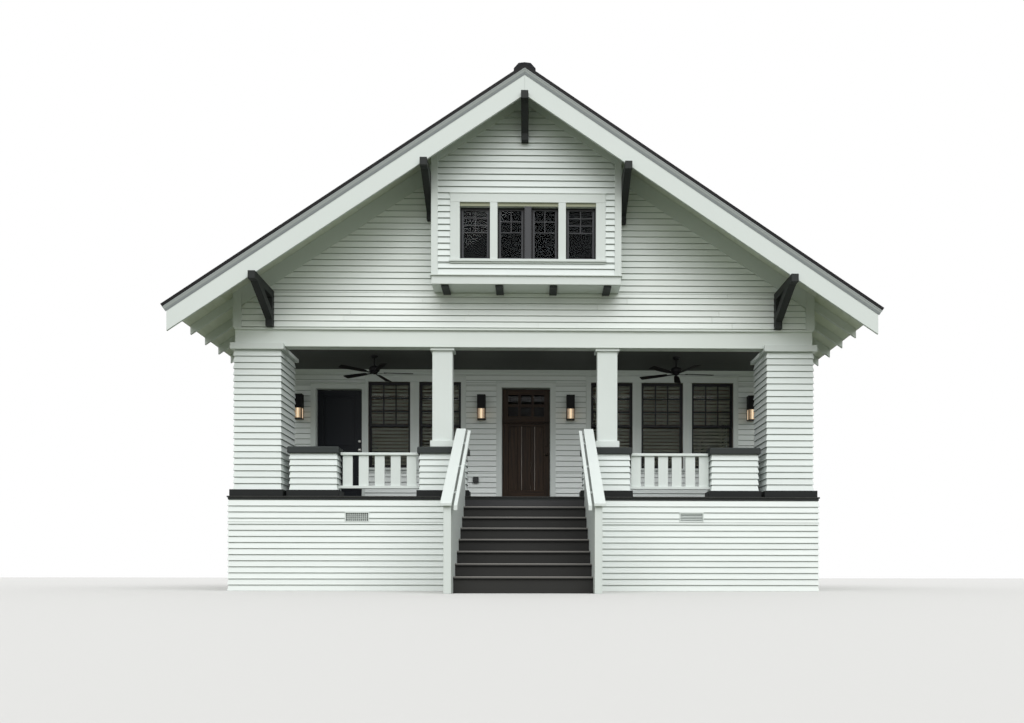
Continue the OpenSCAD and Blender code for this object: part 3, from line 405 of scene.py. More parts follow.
# Mineral faces: no gloss, each shingle or block a shade of its own.
SHINGLE = Granules("Asphalt shingles, charcoal granules", "shingle", "26272A", 0.9, shine=0.15)
BLOCK = Granules("Painted concrete block, white", "white_paint", "D6DDD5", 0.80, 0.011, 0.05, 0.04, 0.0012)
# Metals: coated ones dull and dark, bronze and nickel with their own reflections.
IRON = Metal("Powder-coated steel, black", "black_metal", "0D0D0E", 0.5, shine=0.15)
CAST = Metal("Cast aluminium box, grey enamel", "black_metal", "3A3C3D", 0.5, metallic=0.2, shine=0.3)
BRONZE = Metal("Oil-rubbed bronze hardware", "black_metal", "2A211B", 0.38, metallic=0.8)
NICKEL = Metal("Satin nickel hardware", "black_metal", "C9C8C4", 0.3, metallic=0.9)
# Glass: clear in the windows, smoked in the door, and in the lanterns glowing of itself with painted light of the lamp
# behind.
GLASS = Pane("Float glass, clear", "glass", "E6EEEC", 0.02, shine=0.25)
DOOR_GLASS = Pane("Float glass, smoked", "glass", "4A4E4D", 0.03, shine=0.2)
BULB = Glow("Warm lamp glass, lit", "glass", "FFDCA0", 0.3, strength=5.0)
# Painted light: the lantern panes glow themselves, brightest in each pane's middle, for the lamp behind them.
LAMPLIT = Glow("Seeded glass glowing with painted lamplight", "glass", "FFE2BC", 0.2, strength=0.9)


class Facing(Enum):
    """Way that a flat face of the house looks, seen in plan."""

    FRONT = "front"
    RIGHT = "right"
    REAR = "rear"
    LEFT = "left"

    def points(self, at: float, along: Array, out: Array, up: Array) -> Array:
        """House coordinates of points given along a face, out of it and up.

        Args:
            at: where the face stands on the axis that it looks along.
            along: places along the face, on the house's X or Y.
            out: distances out of the face.
            up: heights.

        Returns:
            The points, with X, Y and Z in the last axis.
        """
        along, out, up = np.broadcast_arrays(along, out, up)
        away = at + (out if self in (Facing.RIGHT, Facing.REAR) else -out)
        return np.stack([along, away, up] if self in (Facing.FRONT, Facing.REAR) else [away, along, up], axis=-1)

    def face(self, at: float) -> Place:
        """The mapping of that face, for the methods of Boards."""
        return lambda along, out, up: self.points(at, along, out, up)


def house(x: Array, y: Array, z: Array) -> Array:
    """Plain house coordinates, the mapping that changes nothing."""
    return np.stack(np.broadcast_arrays(x, y, z), axis=-1)


def about(centre: Sequence[float]) -> Place:
    """Mapping of points given from a centre."""
    return lambda x, y, z: house(centre[0] + x, centre[1] + y, centre[2] + z)


CORNERS = np.array([[i, j, k] for i in (0, 1) for j in (0, 1) for k in (0, 1)])
BOX_FACES = np.array([[0, 1, 3, 2], [4, 6, 7, 5], [0, 4, 5, 1], [2, 3, 7, 6], [0, 2, 6, 4], [1, 5, 7, 3]])
GRAIN_REACH = 9.0  # metres over which the grain of parts is scattered
SHARP, BEVELLED = math.radians(38), math.radians(35)  # folds that stay sharp, and folds that get a bevel
MERGE, FLAT = 0.00005, math.radians(0.5)  # distance of points and fold of faces that count as one


def store(mesh: bpy.types.Mesh, **layers: Array) -> None:
    """Stores numbers or vectors for each point of a mesh, under the names that the finishes read."""
    for key, values in layers.items():
        kind, slot = ("FLOAT", "value") if values.ndim == 1 else ("FLOAT_VECTOR", "vector")
        mesh.attributes.new(key, kind, "POINT").data.foreach_set(slot, np.ravel(values).astype(np.float32))


class Boards:
    """Parts of one piece, kept as whole arrays until its mesh is made.

    Each part has a random shade, and its own grain coordinates: along its longest side first.
    """

    def __init__(self, seed: int = 1) -> None:
        """Starts an empty piece with its own seeded random numbers."""
        self.rng = np.random.default_rng(seed)
        self.points, self.faces, self.tone, self.grain, self.wear = [], [], [], [], []
        self.count = 0

    def add(
        self,
        points: Array,
        faces: Sequence[Array],
        along: Optional[Sequence[float]] = None,
        wear: Optional[Array] = None,
    ) -> None:
        """Adds parts of one topology and turns the faces of each outwards.

        The sign of a part's volume, summed over its faces as fans of tetrahedra, says which way its faces look.

        Args:
            points: (parts, points, 3) in house coordinates.
            faces: arrays of (faces, corners), as numbers of points within a part.
            along: direction of the grain, where it isn't the longest side.
            wear: (points) from 0 to 1, how much of the finish's edge colour each point takes: painted shade under
                clapboard butts and on mouldings, real scuffing with a painted highlight on stair noses, painted glow in
                lantern panes.
        """
        parts, size, _ = points.shape
        centred = points - points.mean(axis=1, keepdims=True)
        volume = np.zeros(parts)
        for group in faces:
            first = centred[:, group[:, 0]]
            for k in range(1, group.shape[1] - 1):
                fan = np.cross(centred[:, group[:, k]], centred[:, group[:, k + 1]])
                volume += np.einsum("nfi,nfi->n", first, fan)
        base = self.count + size * np.arange(parts)
        for group in faces:
            turned = np.where((volume < 0)[:, None, None], group[None, :, ::-1], group[None])
            self.faces.append((turned + base[:, None, None]).reshape(-1, group.shape[1]))
        if along is None:
            order = np.argsort(centred.min(axis=1) - centred.max(axis=1), axis=1)
            grain = np.take_along_axis(points, order[:, None, :], axis=2)
        else:
            lead = np.array(along, float) / np.linalg.norm(along)
            side = np.cross(lead, (0.0, 0.0, 1.0) if abs(lead[2]) < 0.9 else (1.0, 0.0, 0.0))
            side /= np.linalg.norm(side)
            grain = np.stack([points @ lead, points @ side, points @ np.cross(lead, side)], axis=-1)
        self.tone.append(np.repeat(self.rng.random(parts), size))
        grain = grain + self.rng.random((parts, 1, 3)) * GRAIN_REACH
        self.points.append(points.reshape(-1, 3))
        self.grain.append(grain.reshape(-1, 3))
        self.wear.append(np.tile(np.zeros(size) if wear is None else wear, parts))
        self.count += parts * size

    def blocks(self, low: Array, high: Array, place: Place = house) -> None:
        """Adds square-edged boards, each from its lowest to its highest corner.

        Args:
            low: (parts, 3) or (3) lowest corners.
            high: the highest corners.
            place: mapping to house coordinates.
        """
        low, high = np.broadcast_arrays(np.atleast_2d(low).astype(float), np.atleast_2d(high).astype(float))
        corners = np.where(CORNERS[None] == 0, low[:, None, :], high[:, None, :])
        self.add(place(corners[..., 0], corners[..., 1], corners[..., 2]), [BOX_FACES])

    def each(self, place: Place, *rows: Sequence[float]) -> None:
        """Adds one board for each row of its two ends on the first, the second and the third axis."""
        for row in rows:
            self.blocks(row[::2], row[1::2], place)

    def tubes(self, rings: Array, place: Place = house, **options) -> None:
        """Adds closed forms that pass through rings of points, capped at both ends.

        Point j of ring i joins point j of ring i + 1, and each ring closes on itself.

        Args:
            rings: (parts, rings, points, 3) or the same without parts.
            place: mapping to house coordinates.
            **options: handed to add.
        """
        rings = rings[None] if rings.ndim == 3 else rings
        parts, count, size, _ = rings.shape
        i, j = np.meshgrid(np.arange(count - 1), np.arange(size), indexing="ij")
        near, far, after = i * size, (i + 1) * size, (j + 1) % size
        sides = np.stack([near + j, near + after, far + after, far + j], axis=-1).reshape(-1, 4)
        caps = np.stack([np.arange(size)[::-1], (count - 1) * size + np.arange(size)])
        flat = rings.reshape(parts, count * size, 3)
        self.add(place(flat[..., 0], flat[..., 1], flat[..., 2]), [sides, caps], **options)

    def runs(self, section: Array, start: Array, end: Array, axis: int, place: Place = house, **options) -> None:
        """Adds sections that are carried straight along one axis.

        Args:
            section: (points, 2) or (parts, points, 2) in the two other axes, in the order of X, Y, Z.
            start: where each part begins on that axis.
            end: where it ends.
            axis: 0, 1 or 2.
            place: mapping to house coordinates.
            **options: handed to add.
        """
        section = np.asarray(section, float)
        parts = max(len(section) if section.ndim == 3 else 1, np.size(start), np.size(end))
        section = np.broadcast_to(section, (parts, *section.shape[-2:]))
        ends = [np.broadcast_to(value, parts)[:, None] for value in (start, end)]
        self.tubes(np.stack([np.insert(section, axis, value, axis=2) for value in ends], axis=1), place, **options)

    def lathe(self, profile: Sequence, centre: Sequence[float], sides: int = 32, axis: int = 2) -> None:
        """Turns a profile of radius and height about an axis through the centre.

        A point at radius r and angle a lies at (r cos a, r sin a) across the axis.

        Args:
            profile: rows of radius and height, from one end to the other, no radius quite zero.
            centre: where height 0 of the axis lies.
            sides: number of facets.
            axis: the axis that it turns about.
        """
        profile = np.asarray(profile, float)
        angle = np.linspace(0, 2 * math.pi, sides, endpoint=False)
        height = np.repeat(profile[:, 1:], sides, axis=1)
        rings = np.stack([profile[:, :1] * np.cos(angle), profile[:, :1] * np.sin(angle), height], axis=-1)
        self.tubes(np.roll(rings, axis - 2, axis=-1), about(centre))

    def piece(
        self,
        name: str,
        finish: Finish,
        body: str = "root",
        ease: float = 0.0,
        smooth: bool = False,
        replaces: Sequence[str] = (),
    ) -> Object:
        """Makes the mesh and its object, rides it on its body and dresses it.

        Args:
            name: the piece's name.
            finish: what it is finished with.
            body: the frame's body that carries it.
            ease: width of the bevel on its edges, 0 for none.
            smooth: True for turned and curved pieces.
            replaces: the nodes that it stands for.

        Returns:
            The piece's object.
        """
        points = np.concatenate(self.points)
        points[:, 1] += FRONT_Y
        mesh = bpy.data.meshes.new(name)
        mesh.from_pydata(points.tolist(), [], [row for group in self.faces for row in group.tolist()])
        tone, wear, grain = (np.concatenate(kept) for kept in (self.tone, self.wear, self.grain))
        store(mesh, tone=tone, wear=wear, grain=grain)
        mesh.validate()
        if smooth:
            mesh.shade_smooth()
            mesh.set_sharp_from_angle(angle=SHARP)
        return finished(mesh, finish, body, ease, replaces)


def put(name: str, data: bpy.types.ID) -> Object:
    """Makes an object of a mesh, lamp or camera and links it into the scene."""
    made = bpy.data.objects.new(name, data)
    bpy.context.scene.collection.objects.link(made)
    return made


def coat(made: Object, finish: Finish) -> None:
    """Gives an object one finish in place of what it has."""
    made.data.materials.clear()
    made.data.materials.append(finish.material())


def finished(mesh: bpy.types.Mesh, finish: Finish, body: str, ease: float, replaces: Sequence[str]) -> Object:
    """Makes a mesh's object, of the same name, with its finish, its bevel and its place in the frame.

    Args:
        mesh: the piece's mesh in the frame's coordinates.
        finish: what it is finished with.
        body: the frame's body that carries it.
        ease: width of the bevel on its edges, 0 for none.
        replaces: the nodes that it stands for.

    Returns:
        The new object.
    """
    made = put(mesh.name, mesh)
    coat(made, finish)
    if ease:
        bevel = made.modifiers.new("Eased edges", "BEVEL")
        bevel.width, bevel.segments = ease, 2
        bevel.limit_method, bevel.angle_limit = "ANGLE", BEVELLED
    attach(made, body)
    if replaces:
        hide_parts(*replaces)
    LOG.info("%s: %d faces", made.name, len(made.data.polygons))
    return made


def eased_node(node: str, finish: Finish, ease: float, name: str) -> Object:
    """Stands a merged copy of a fixed node's mesh, with eased edges, in the node's place.

    Points of its loose triangles that meet are merged, and flat fans of triangles become one face each. The
    grain runs along the longest side of each loose part.

    Args:
        node: the frame's node.
        finish: what it is finished with.
        ease: width of the bevel.
        name: the piece's name.

    Returns:
        The new object.
    """
    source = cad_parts[node]
    mesh = bpy.data.meshes.new(name)
    work = bmesh.new()
    work.from_mesh(source.data)
    work.transform(source.matrix_world)
    bmesh.ops.remove_doubles(work, verts=work.verts, dist=MERGE)
    bmesh.ops.dissolve_limit(work, angle_limit=FLAT, verts=work.verts, edges=work.edges, delimit=set())
    parent = list(range(len(work.verts)))

    def root(i: int) -> int:
        """First point of the loose part that point i belongs to."""
        while parent[i] != i:
            parent[i] = parent[parent[i]]
            i = parent[i]
        return i

    work.verts.index_update()
    for edge in work.edges:
        parent[root(edge.verts[0].index)] = root(edge.verts[1].index)
    part = np.array([root(i) for i in range(len(parent))])
    work.to_mesh(mesh)
    work.free()
    points = np.empty(3 * len(mesh.vertices))
    mesh.vertices.foreach_get("co", points)
    points = points.reshape(-1, 3)
    rng = np.random.default_rng(len(points))
    grain, tone = points.copy(), np.zeros(len(points))
    for label in np.unique(part):
        mine = part == label
        order = np.argsort(-np.ptp(points[mine], axis=0))
        grain[mine] = points[mine][:, order] + rng.random(3) * GRAIN_REACH
        tone[mine] = rng.random()
    store(mesh, tone=tone, grain=grain)
    return finished(mesh, finish, "root", ease, [node])


@dataclass(frozen=True)
class Cladding:
    """Bevelled clapboard: courses that are thick at their lower edge, with open butt joints between boards."""

    exposure: float = 0.102
    butt: float = 0.024
    thin: float = 0.004
    ease: float = 0.0015
    lengths: Span = (1.6, 4.3)
    joint: float = 0.0015
    strip: float = 0.014

    def clad(
        self,
        boards: Boards,
        facing: Facing,
        at: float,
        span: Span,
        height: Span,
        holes: Sequence[Edges] = (),
        mitres: tuple[int, int] = (0, 0),
        gable: Optional[float] = None,
    ) -> None:
        """Clads one flat face.

        A board's face leans in from the butt to the thin edge, in proportion to its height within the course.
        Its upper edge, under the next course's butt, and the butt's underside take the edge colour: painted shade.
        Under a gable its ends follow the roof: x = (ridge - gable - z) / pitch. A mitred end runs past its corner
        by as much as the board stands out, so that two faces close.

        Args:
            boards: the piece that takes the boards.
            facing: way that the face looks.
            at: where the face stands.
            span: its two ends.
            height: its foot and its top.
            holes: openings as (start, end, foot, top).
            mitres: 1 for each end that is mitred.
            gable: height of the board between the roof and the ends, where the roof cuts them.
        """
        low, high = height
        step = (high - low) / max(1, round((high - low) / self.exposure))
        levels = set(np.round(np.arange(low, high - 1e-6, step), 5)) | {round(high, 5)}
        levels |= {round(z, 5) for hole in holes for z in hole[2:] if low < z < high}
        cuts = sorted(levels)
        rows = []
        for z0, z1 in zip(cuts, cuts[1:]):
            if z1 - z0 < 0.002:
                continue
            foot = low + math.floor((z0 - low) / step + 1e-4) * step
            thick = [self.butt - (self.butt - self.thin) * (z - foot) / step for z in (z0, z1)]
            for p0, p1 in self.free(span, holes, (z0 + z1) / 2):
                stops = [p0, p1]
                while stops[-1] - stops[-2] > self.lengths[1]:
                    stops.insert(-1, stops[-2] + float(boards.rng.uniform(*self.lengths)))
                for a, b in zip(stops, stops[1:]):
                    ends = (a + self.joint * (a != p0), b - self.joint * (b != p1))
                    rows.append((z0, z1, *thick, *ends, mitres[0] * (a == span[0]), mitres[1] * (b == span[1])))
        z0, z1, t0, t1, a, b, first, last = np.array(rows).T
        z2 = np.maximum(z1 - self.strip, (z0 + z1) / 2)
        t2 = t0 + (t1 - t0) * (z2 - z0) / (z1 - z0)
        back = np.full_like(t0, HAIR)
        z = np.stack([z0, z0, z0 + self.ease, z2, z1, z1], axis=1)
        out = np.stack([back, t0 - self.ease, t0, t2, t1, back], axis=1)
        start, end = a[:, None] - first[:, None] * out, b[:, None] + last[:, None] * out
        if gable is not None:
            z = np.minimum(z, H.ridge - gable - 0.002)
            limit = (H.ridge - gable - z) / H.pitch
            keep = limit[:, 0] > np.maximum(start, -end).max(axis=1) + 0.01
            start, end = np.maximum(start, -limit), np.minimum(end, limit)
            end = np.maximum(start, end)
            z, out, start, end = z[keep], out[keep], start[keep], end[keep]
        rings = np.stack([np.stack([side, out, z], axis=-1) for side in (start, end)], axis=1)
        # painted shade: grey-green along each course's upper edge and on the butt's underside
        boards.tubes(rings, facing.face(at), wear=np.tile([1.0, 0.3, 0.0, 0.0, 1.0, 1.0], 2))

    @staticmethod
    def free(span: Span, holes: Sequence[Edges], z: float) -> list[Span]:
        """What the holes leave of a span at one height, as a list of spans over 10 mm long."""
        left = [span]
        for a0, a1, h0, h1 in holes:
            if h0 < z < h1:
                cut = [part for p0, p1 in left for part in ((p0, min(p1, a0)), (max(p0, a1), p1))]
                left = [part for part in cut if part[1] - part[0] > 0.01]
        return left


@dataclass(frozen=True)
class Row:
    """A row of like windows on one face: where it is, the middles of its windows and the width of its boards."""

    facing: Facing
    at: float
    middles: tuple[float, ...]
    sill: float
    width: float
    height: float
    left: float = 0.095
    right: float = 0.095
    head: float = 0.130

    def hole(self) -> Edges:
        """The part of the face that its boards cover."""
        start, end = self.middles[0] - self.width / 2 - self.left, self.middles[-1] + self.width / 2 + self.right
        return (start, end, self.sill - 0.095, self.sill + self.height + self.head)


@dataclass(frozen=True)
class Openings:
    """The windows and doors of the house, by face."""

    win_w: float = 0.80
    win_h: float = 1.65
    sill: float = 2.315
    inner: float = 1.645
    pitch: float = 0.97
    shared: float = 0.059
    door_w: float = 0.93
    door_h: float = 2.245
    side_door_w: float = 0.87
    side_door_h: float = 2.21
    side_door_x: float = -3.576
    leaf_gap: float = 0.008
    casing: float = 0.095

    def rows(self) -> list[Row]:
        """Every row of windows but the bay's."""
        size = {"sill": self.sill, "width": self.win_w, "height": self.win_h}
        x = [self.inner + i * self.pitch for i in range(3)]
        rows = [Row(Facing.FRONT, H.wall_y, (-x[1], -x[0]), left=self.shared, **size)]
        rows.append(Row(Facing.FRONT, H.wall_y, tuple(x), **size))
        for facing, at in ((Facing.RIGHT, H.half), (Facing.LEFT, -H.half)):
            rows += [Row(facing, at, (H.wall_y + (i + 0.5) * (H.rear_y - H.wall_y) / 4,), **size) for i in range(4)]
        rows += [Row(Facing.REAR, H.rear_y, (k * 2.6 * self.pitch,), **size) for k in (-1, 0, 1)]
        half = self.pitch / 2
        return rows + [Row(Facing.REAR, H.rear_y, (-half, half), H.bay_sill, self.win_w, H.bay_glass, head=0.095)]

    def doors(self) -> list[tuple[float, float, float, float, float]]:
        """Ends of each door's opening, then of its boards, and the height where its head board ends."""
        found = []
        for x, width, height, right in (
            (0.0, self.door_w, self.door_h, self.casing),
            (self.side_door_x, self.side_door_w, self.side_door_h, self.shared),
        ):
            edge = width / 2 + self.leaf_gap
            top = H.floor + height + 2 * self.leaf_gap + self.casing
            found.append((x - edge, x + edge, x - edge - self.casing, x + edge + right, top))
        return found

    def holes(self, facing: Facing) -> list[Edges]:
        """The parts of one face that siding leaves open."""
        holes = [row.hole() for row in self.rows() if row.facing is facing]
        if facing is Facing.FRONT:
            holes += [(start, end, 0.0, top) for _, _, start, end, top in self.doors()]
        return holes


OPENINGS = Openings()


@dataclass(frozen=True)
class Walls:
    """Clapboard skins of the house, and the boards at their corners."""

    gable_course: float = 0.1005
    pillar_course: float = 0.1065
    corner: float = 0.115
    corner_t: float = 0.030
    bay_corner: float = 0.078
    pillar_w: float = 0.75
    pillar_d: float = 0.77
    pillar_z: Span = (1.67, 3.982)
    pier_w: float = 0.75
    pier_d: float = 0.26
    pier_y: float = 0.04
    pier_z: Span = (1.67, 2.285)
    pier_x: tuple[float, ...] = (-3.505, -1.36, 1.36, 3.505)
    band: float = 0.13
    drip: float = 0.022
    vent_x: float = 2.76
    vent: Span = (0.40, 0.165)
    vent_z: float = 1.135
    stair_x: float = 1.0905
    frieze: float = 0.15
    crown: float = 0.085
    block: tuple[float, float, float] = (0.40, 0.010, 0.012)
    block_h: float = 0.200

    @property
    def foot(self) -> float:
        """Height where the siding of the closed house begins."""
        return H.floor - 0.2

    @property
    def bay_foot(self) -> float:
        """Height where the bay's siding begins, over its drip cap."""
        return H.bay_low + self.band + self.drip

    def vent_hole(self, side: int) -> Edges:
        """The opening of the left (-1) or the right (1) vent in the skirt."""
        x, half = side * self.vent_x, self.vent[0] / 2
        return (x - half, x + half, self.vent_z, self.vent_z + self.vent[1])

    def build(self) -> None:
        """Makes every skin."""
        self.front_gable()
        self.bay()
        self.porch_wall()
        self.sides_and_rear()
        self.posts_on_all_sides()
        self.skirt()
        self.blocks()
        self.corner_boards()
        self.rakes()

    def front_gable(self) -> None:
        """The wide gable round the bay."""
        boards = Boards(11)
        bay = (H.bay_x - H.bay_half, H.bay_x + H.bay_half, H.bay_low, H.ridge + 1)
        edge = H.half - self.corner
        height = (H.beam_top + 0.02, H.ridge)
        Cladding(self.gable_course).clad(boards, Facing.FRONT, 0.0, (-edge, edge), height, [bay], gable=H.rake)
        boards.piece("siding_front_gable", GABLE_PAINTED_LIGHTER)

    def bay(self) -> None:
        """Front and sides of the bay over a thin drip cap, which covers the band along the foot."""
        boards, siding, low = Boards(12), Cladding(self.gable_course), self.bay_foot
        trim = (H.bay_sill - 0.065, H.bay_sill + H.bay_glass + 0.21)
        casing = (H.bay_win - H.bay_trim, H.bay_win + H.bay_trim, *trim)
        edge = H.bay_half - self.bay_corner
        ends = (H.bay_x - edge, H.bay_x + edge)
        siding.clad(boards, Facing.FRONT, -H.bay_out, ends, (low, H.ridge), [casing], gable=H.rake)
        for facing, at in ((Facing.RIGHT, H.bay_x + H.bay_half), (Facing.LEFT, H.bay_x - H.bay_half)):
            top = float(H.roof(at)) - 0.002
            siding.clad(boards, facing, at, (self.bay_corner - H.bay_out, 0.0), (low, top))
        boards.piece("siding_bay", WHITE_PAINTED_DARKER)
        drip, out, under = Boards(21), 0.048, low - self.drip + HAIR
        profile = [(0.0, under), (out, under), (out, low - 0.006), (0.0, low)]
        reach = H.bay_half + out
        drip.runs(profile, H.bay_x - reach, H.bay_x + reach, 0, lambda a, o, z: house(a, -H.bay_out - o, z))
        for side in (-1, 1):
            place = lambda o, a, z, s=side: house(H.bay_x + s * (H.bay_half + o), a, z)
            drip.runs(profile, HAIR - H.bay_out, -HAIR, 1, place)
        drip.piece("bay_drip_cap", TRIM, ease=0.002)

    def porch_wall(self) -> None:
        """House wall at the back of the porch."""
        boards, height = Boards(13), (H.deck + 0.075, H.ceiling - self.crown)
        Cladding().clad(boards, Facing.FRONT, H.wall_y, (-H.half, H.half), height, OPENINGS.holes(Facing.FRONT))
        boards.piece("siding_porch_wall", WHITE)

    def sides_and_rear(self) -> None:
        """Both long sides, with the strips over the porch, and the rear with its gable."""
        boards, top = Boards(14), H.wall_top - 0.155
        for facing, at in ((Facing.RIGHT, H.half), (Facing.LEFT, -H.half)):
            ends = (H.wall_y + self.corner, H.rear_y - self.corner)
            Cladding().clad(boards, facing, at, ends, (self.foot, top), OPENINGS.holes(facing))
            Cladding().clad(boards, facing, at, (self.corner, H.wall_y + self.corner), (H.beam_top, top))
        boards.piece("siding_sides", WHITE)
        rear, edge, holes = Boards(15), H.half - self.corner, OPENINGS.holes(Facing.REAR)
        Cladding().clad(rear, Facing.REAR, H.rear_y, (-edge, edge), (self.foot, H.ridge), holes, gable=H.rake)
        rear.piece("siding_rear", WHITE)

    def posts_on_all_sides(self) -> None:
        """Pillars and low piers, their boards mitred at the corners."""
        middle = H.half - self.pillar_w / 2
        piers = (self.pier_y, self.pier_y + self.pier_d)
        pillars = (0.0, self.pillar_d)
        for name, seed, exposure, middles, width, span, height in (
            ("siding_pillars", 16, self.pillar_course, (-middle, middle), self.pillar_w, pillars, self.pillar_z),
            ("siding_piers", 17, 0.102, self.pier_x, self.pier_w, piers, self.pier_z),
        ):
            boards = Boards(seed)
            for x in middles:
                across = (x - width / 2, x + width / 2)
                for facing, at, ends in (
                    (Facing.FRONT, span[0], across),
                    (Facing.REAR, span[1], across),
                    (Facing.LEFT, across[0], span),
                    (Facing.RIGHT, across[1], span),
                ):
                    Cladding(exposure).clad(boards, facing, at, ends, height, mitres=(1, 1))
            boards.piece(name, WHITE_PAINTED_DARKER)

    def skirt(self) -> None:
        """Clapboard skirt under the porch, open at the vents and behind the stair."""
        boards, edge, top = Boards(18), H.half + H.base_proud, H.deck - 0.062
        holes = [*map(self.vent_hole, (-1, 1)), (-self.stair_x, self.stair_x, 0.0, top + 1)]
        Cladding().clad(boards, Facing.FRONT, -H.base_proud, (-edge, edge), (0.0, top), holes, (1, 1))
        for facing, at in ((Facing.RIGHT, edge), (Facing.LEFT, -edge)):
            Cladding().clad(boards, facing, at, (-H.base_proud, H.wall_y), (0.0, top), mitres=(1, 0))
        boards.piece("siding_skirt", WHITE)

    def blocks(self) -> None:
        """Courses of block round the foundation of the closed house, half a block shifted from row to row."""
        boards, (length, joint, out) = Boards(19), self.block
        rows = int(round(self.foot / self.block_h))
        rise, half = self.foot / rows, joint / 2
        for facing, at, a0, a1 in (
            (Facing.RIGHT, H.half, H.wall_y, H.rear_y),
            (Facing.LEFT, -H.half, H.wall_y, H.rear_y),
            (Facing.REAR, H.rear_y, -H.half, H.half),
        ):
            for row in range(rows):
                starts = np.arange(a0 - (length / 2 if row % 2 else 0.0), a1, length)
                ends, starts = np.minimum(starts + length - joint, a1), np.maximum(starts, a0)
                keep = ends - starts > 0.03
                low, high = house(starts[keep], 0.0, row * rise + half), house(ends[keep], out, (row + 1) * rise - half)
                boards.blocks(low, high, facing.face(at))
        boards.piece("foundation_blocks", BLOCK, ease=0.003)

    def corner_boards(self) -> None:
        """Upright boards at the corners, the frieze under the eaves, and the crown and base of the porch wall."""
        boards, width, thick, low = Boards(20), self.corner, self.corner_t, self.foot
        for s, side in ((-1, Facing.LEFT), (1, Facing.RIGHT)):
            at = s * H.half
            inner, outer, face = at - s * width, at + s * thick, side.face(at)
            for facing, wall, foot in ((Facing.FRONT, 0.0, H.beam_top), (Facing.REAR, H.rear_y, low)):
                top = [(inner, float(H.roof(inner))), (outer, float(H.roof(H.half)))]
                boards.runs([(outer, foot), (inner, foot), *top], 0.0, thick, 1, facing.face(wall))
            frieze = H.wall_top - self.frieze
            boards.each(
                face,
                (0.0, width, 0, thick, H.beam_top, frieze),
                (H.rear_y - width, H.rear_y, 0, thick, low, frieze),
                (H.wall_y, H.wall_y + width, 0, thick, low, frieze),
                (0.0, H.rear_y, 0, thick - 0.004, frieze, H.wall_top - 0.002),
            )
            bay_at, foot = H.bay_x + s * H.bay_half, self.bay_foot
            bay_top, edge, outer = float(H.roof(bay_at)), bay_at - s * self.bay_corner, bay_at + s * thick
            top = [(edge, float(H.roof(edge))), (outer, bay_top - thick * H.pitch)]
            boards.runs([(outer, foot), (edge, foot), *top], 0.0, thick, 1, Facing.FRONT.face(-H.bay_out))
            ends = (-H.bay_out, self.bay_corner - H.bay_out)
            boards.each(side.face(bay_at), (*ends, 0, thick, foot, bay_top - 0.03))
        face, edge, top = Facing.FRONT.face(H.wall_y), H.half - 0.002, H.ceiling
        boards.each(face, (-edge, edge, 0, 0.028, top - self.crown, top))
        crown = [(0.028, top - 0.05), (0.034, top - 0.045), (0.062, top - 0.012), (0.062, top), (0.028, top)]
        boards.runs(crown, -edge, edge, 0, face)
        edges = [-H.half, *(x for door in sorted(door[2:4] for door in OPENINGS.doors()) for x in door), H.half]
        for a0, a1 in zip(edges[::2], edges[1::2]):
            boards.each(face, (a0, a1, 0, 0.029, H.deck + 0.002, H.deck + 0.075))
        boards.piece("corner_boards", TRIM, ease=0.003)

    def rakes(self) -> None:
        """Smooth boards that follow the roof over the gables' siding."""
        boards, edge = Boards(22), H.half - self.corner - HAIR
        for side in (-1, 1):
            bay = H.bay_half + side * H.bay_x
            for facing, at, a, b in (
                (Facing.FRONT, 0.0, bay + HAIR, edge),
                (Facing.FRONT, -H.bay_out, SLIT, bay - self.bay_corner - HAIR),
                (Facing.REAR, H.rear_y, SLIT, edge),
            ):
                x = np.array([a, b, b, a])
                outline = np.stack([x, H.roof(x) - [0.0006, 0.0006, H.rake, H.rake]], axis=1)
                place = lambda u, o, z, f=facing, p=at, s=side: f.points(p, s * u, o, z)
                boards.runs(outline, HAIR, self.corner_t - 0.003, 1, place, along=(side * 1.0, 0.0, -H.pitch))
        boards.piece("rake_boards", TRIM, ease=0.0025)


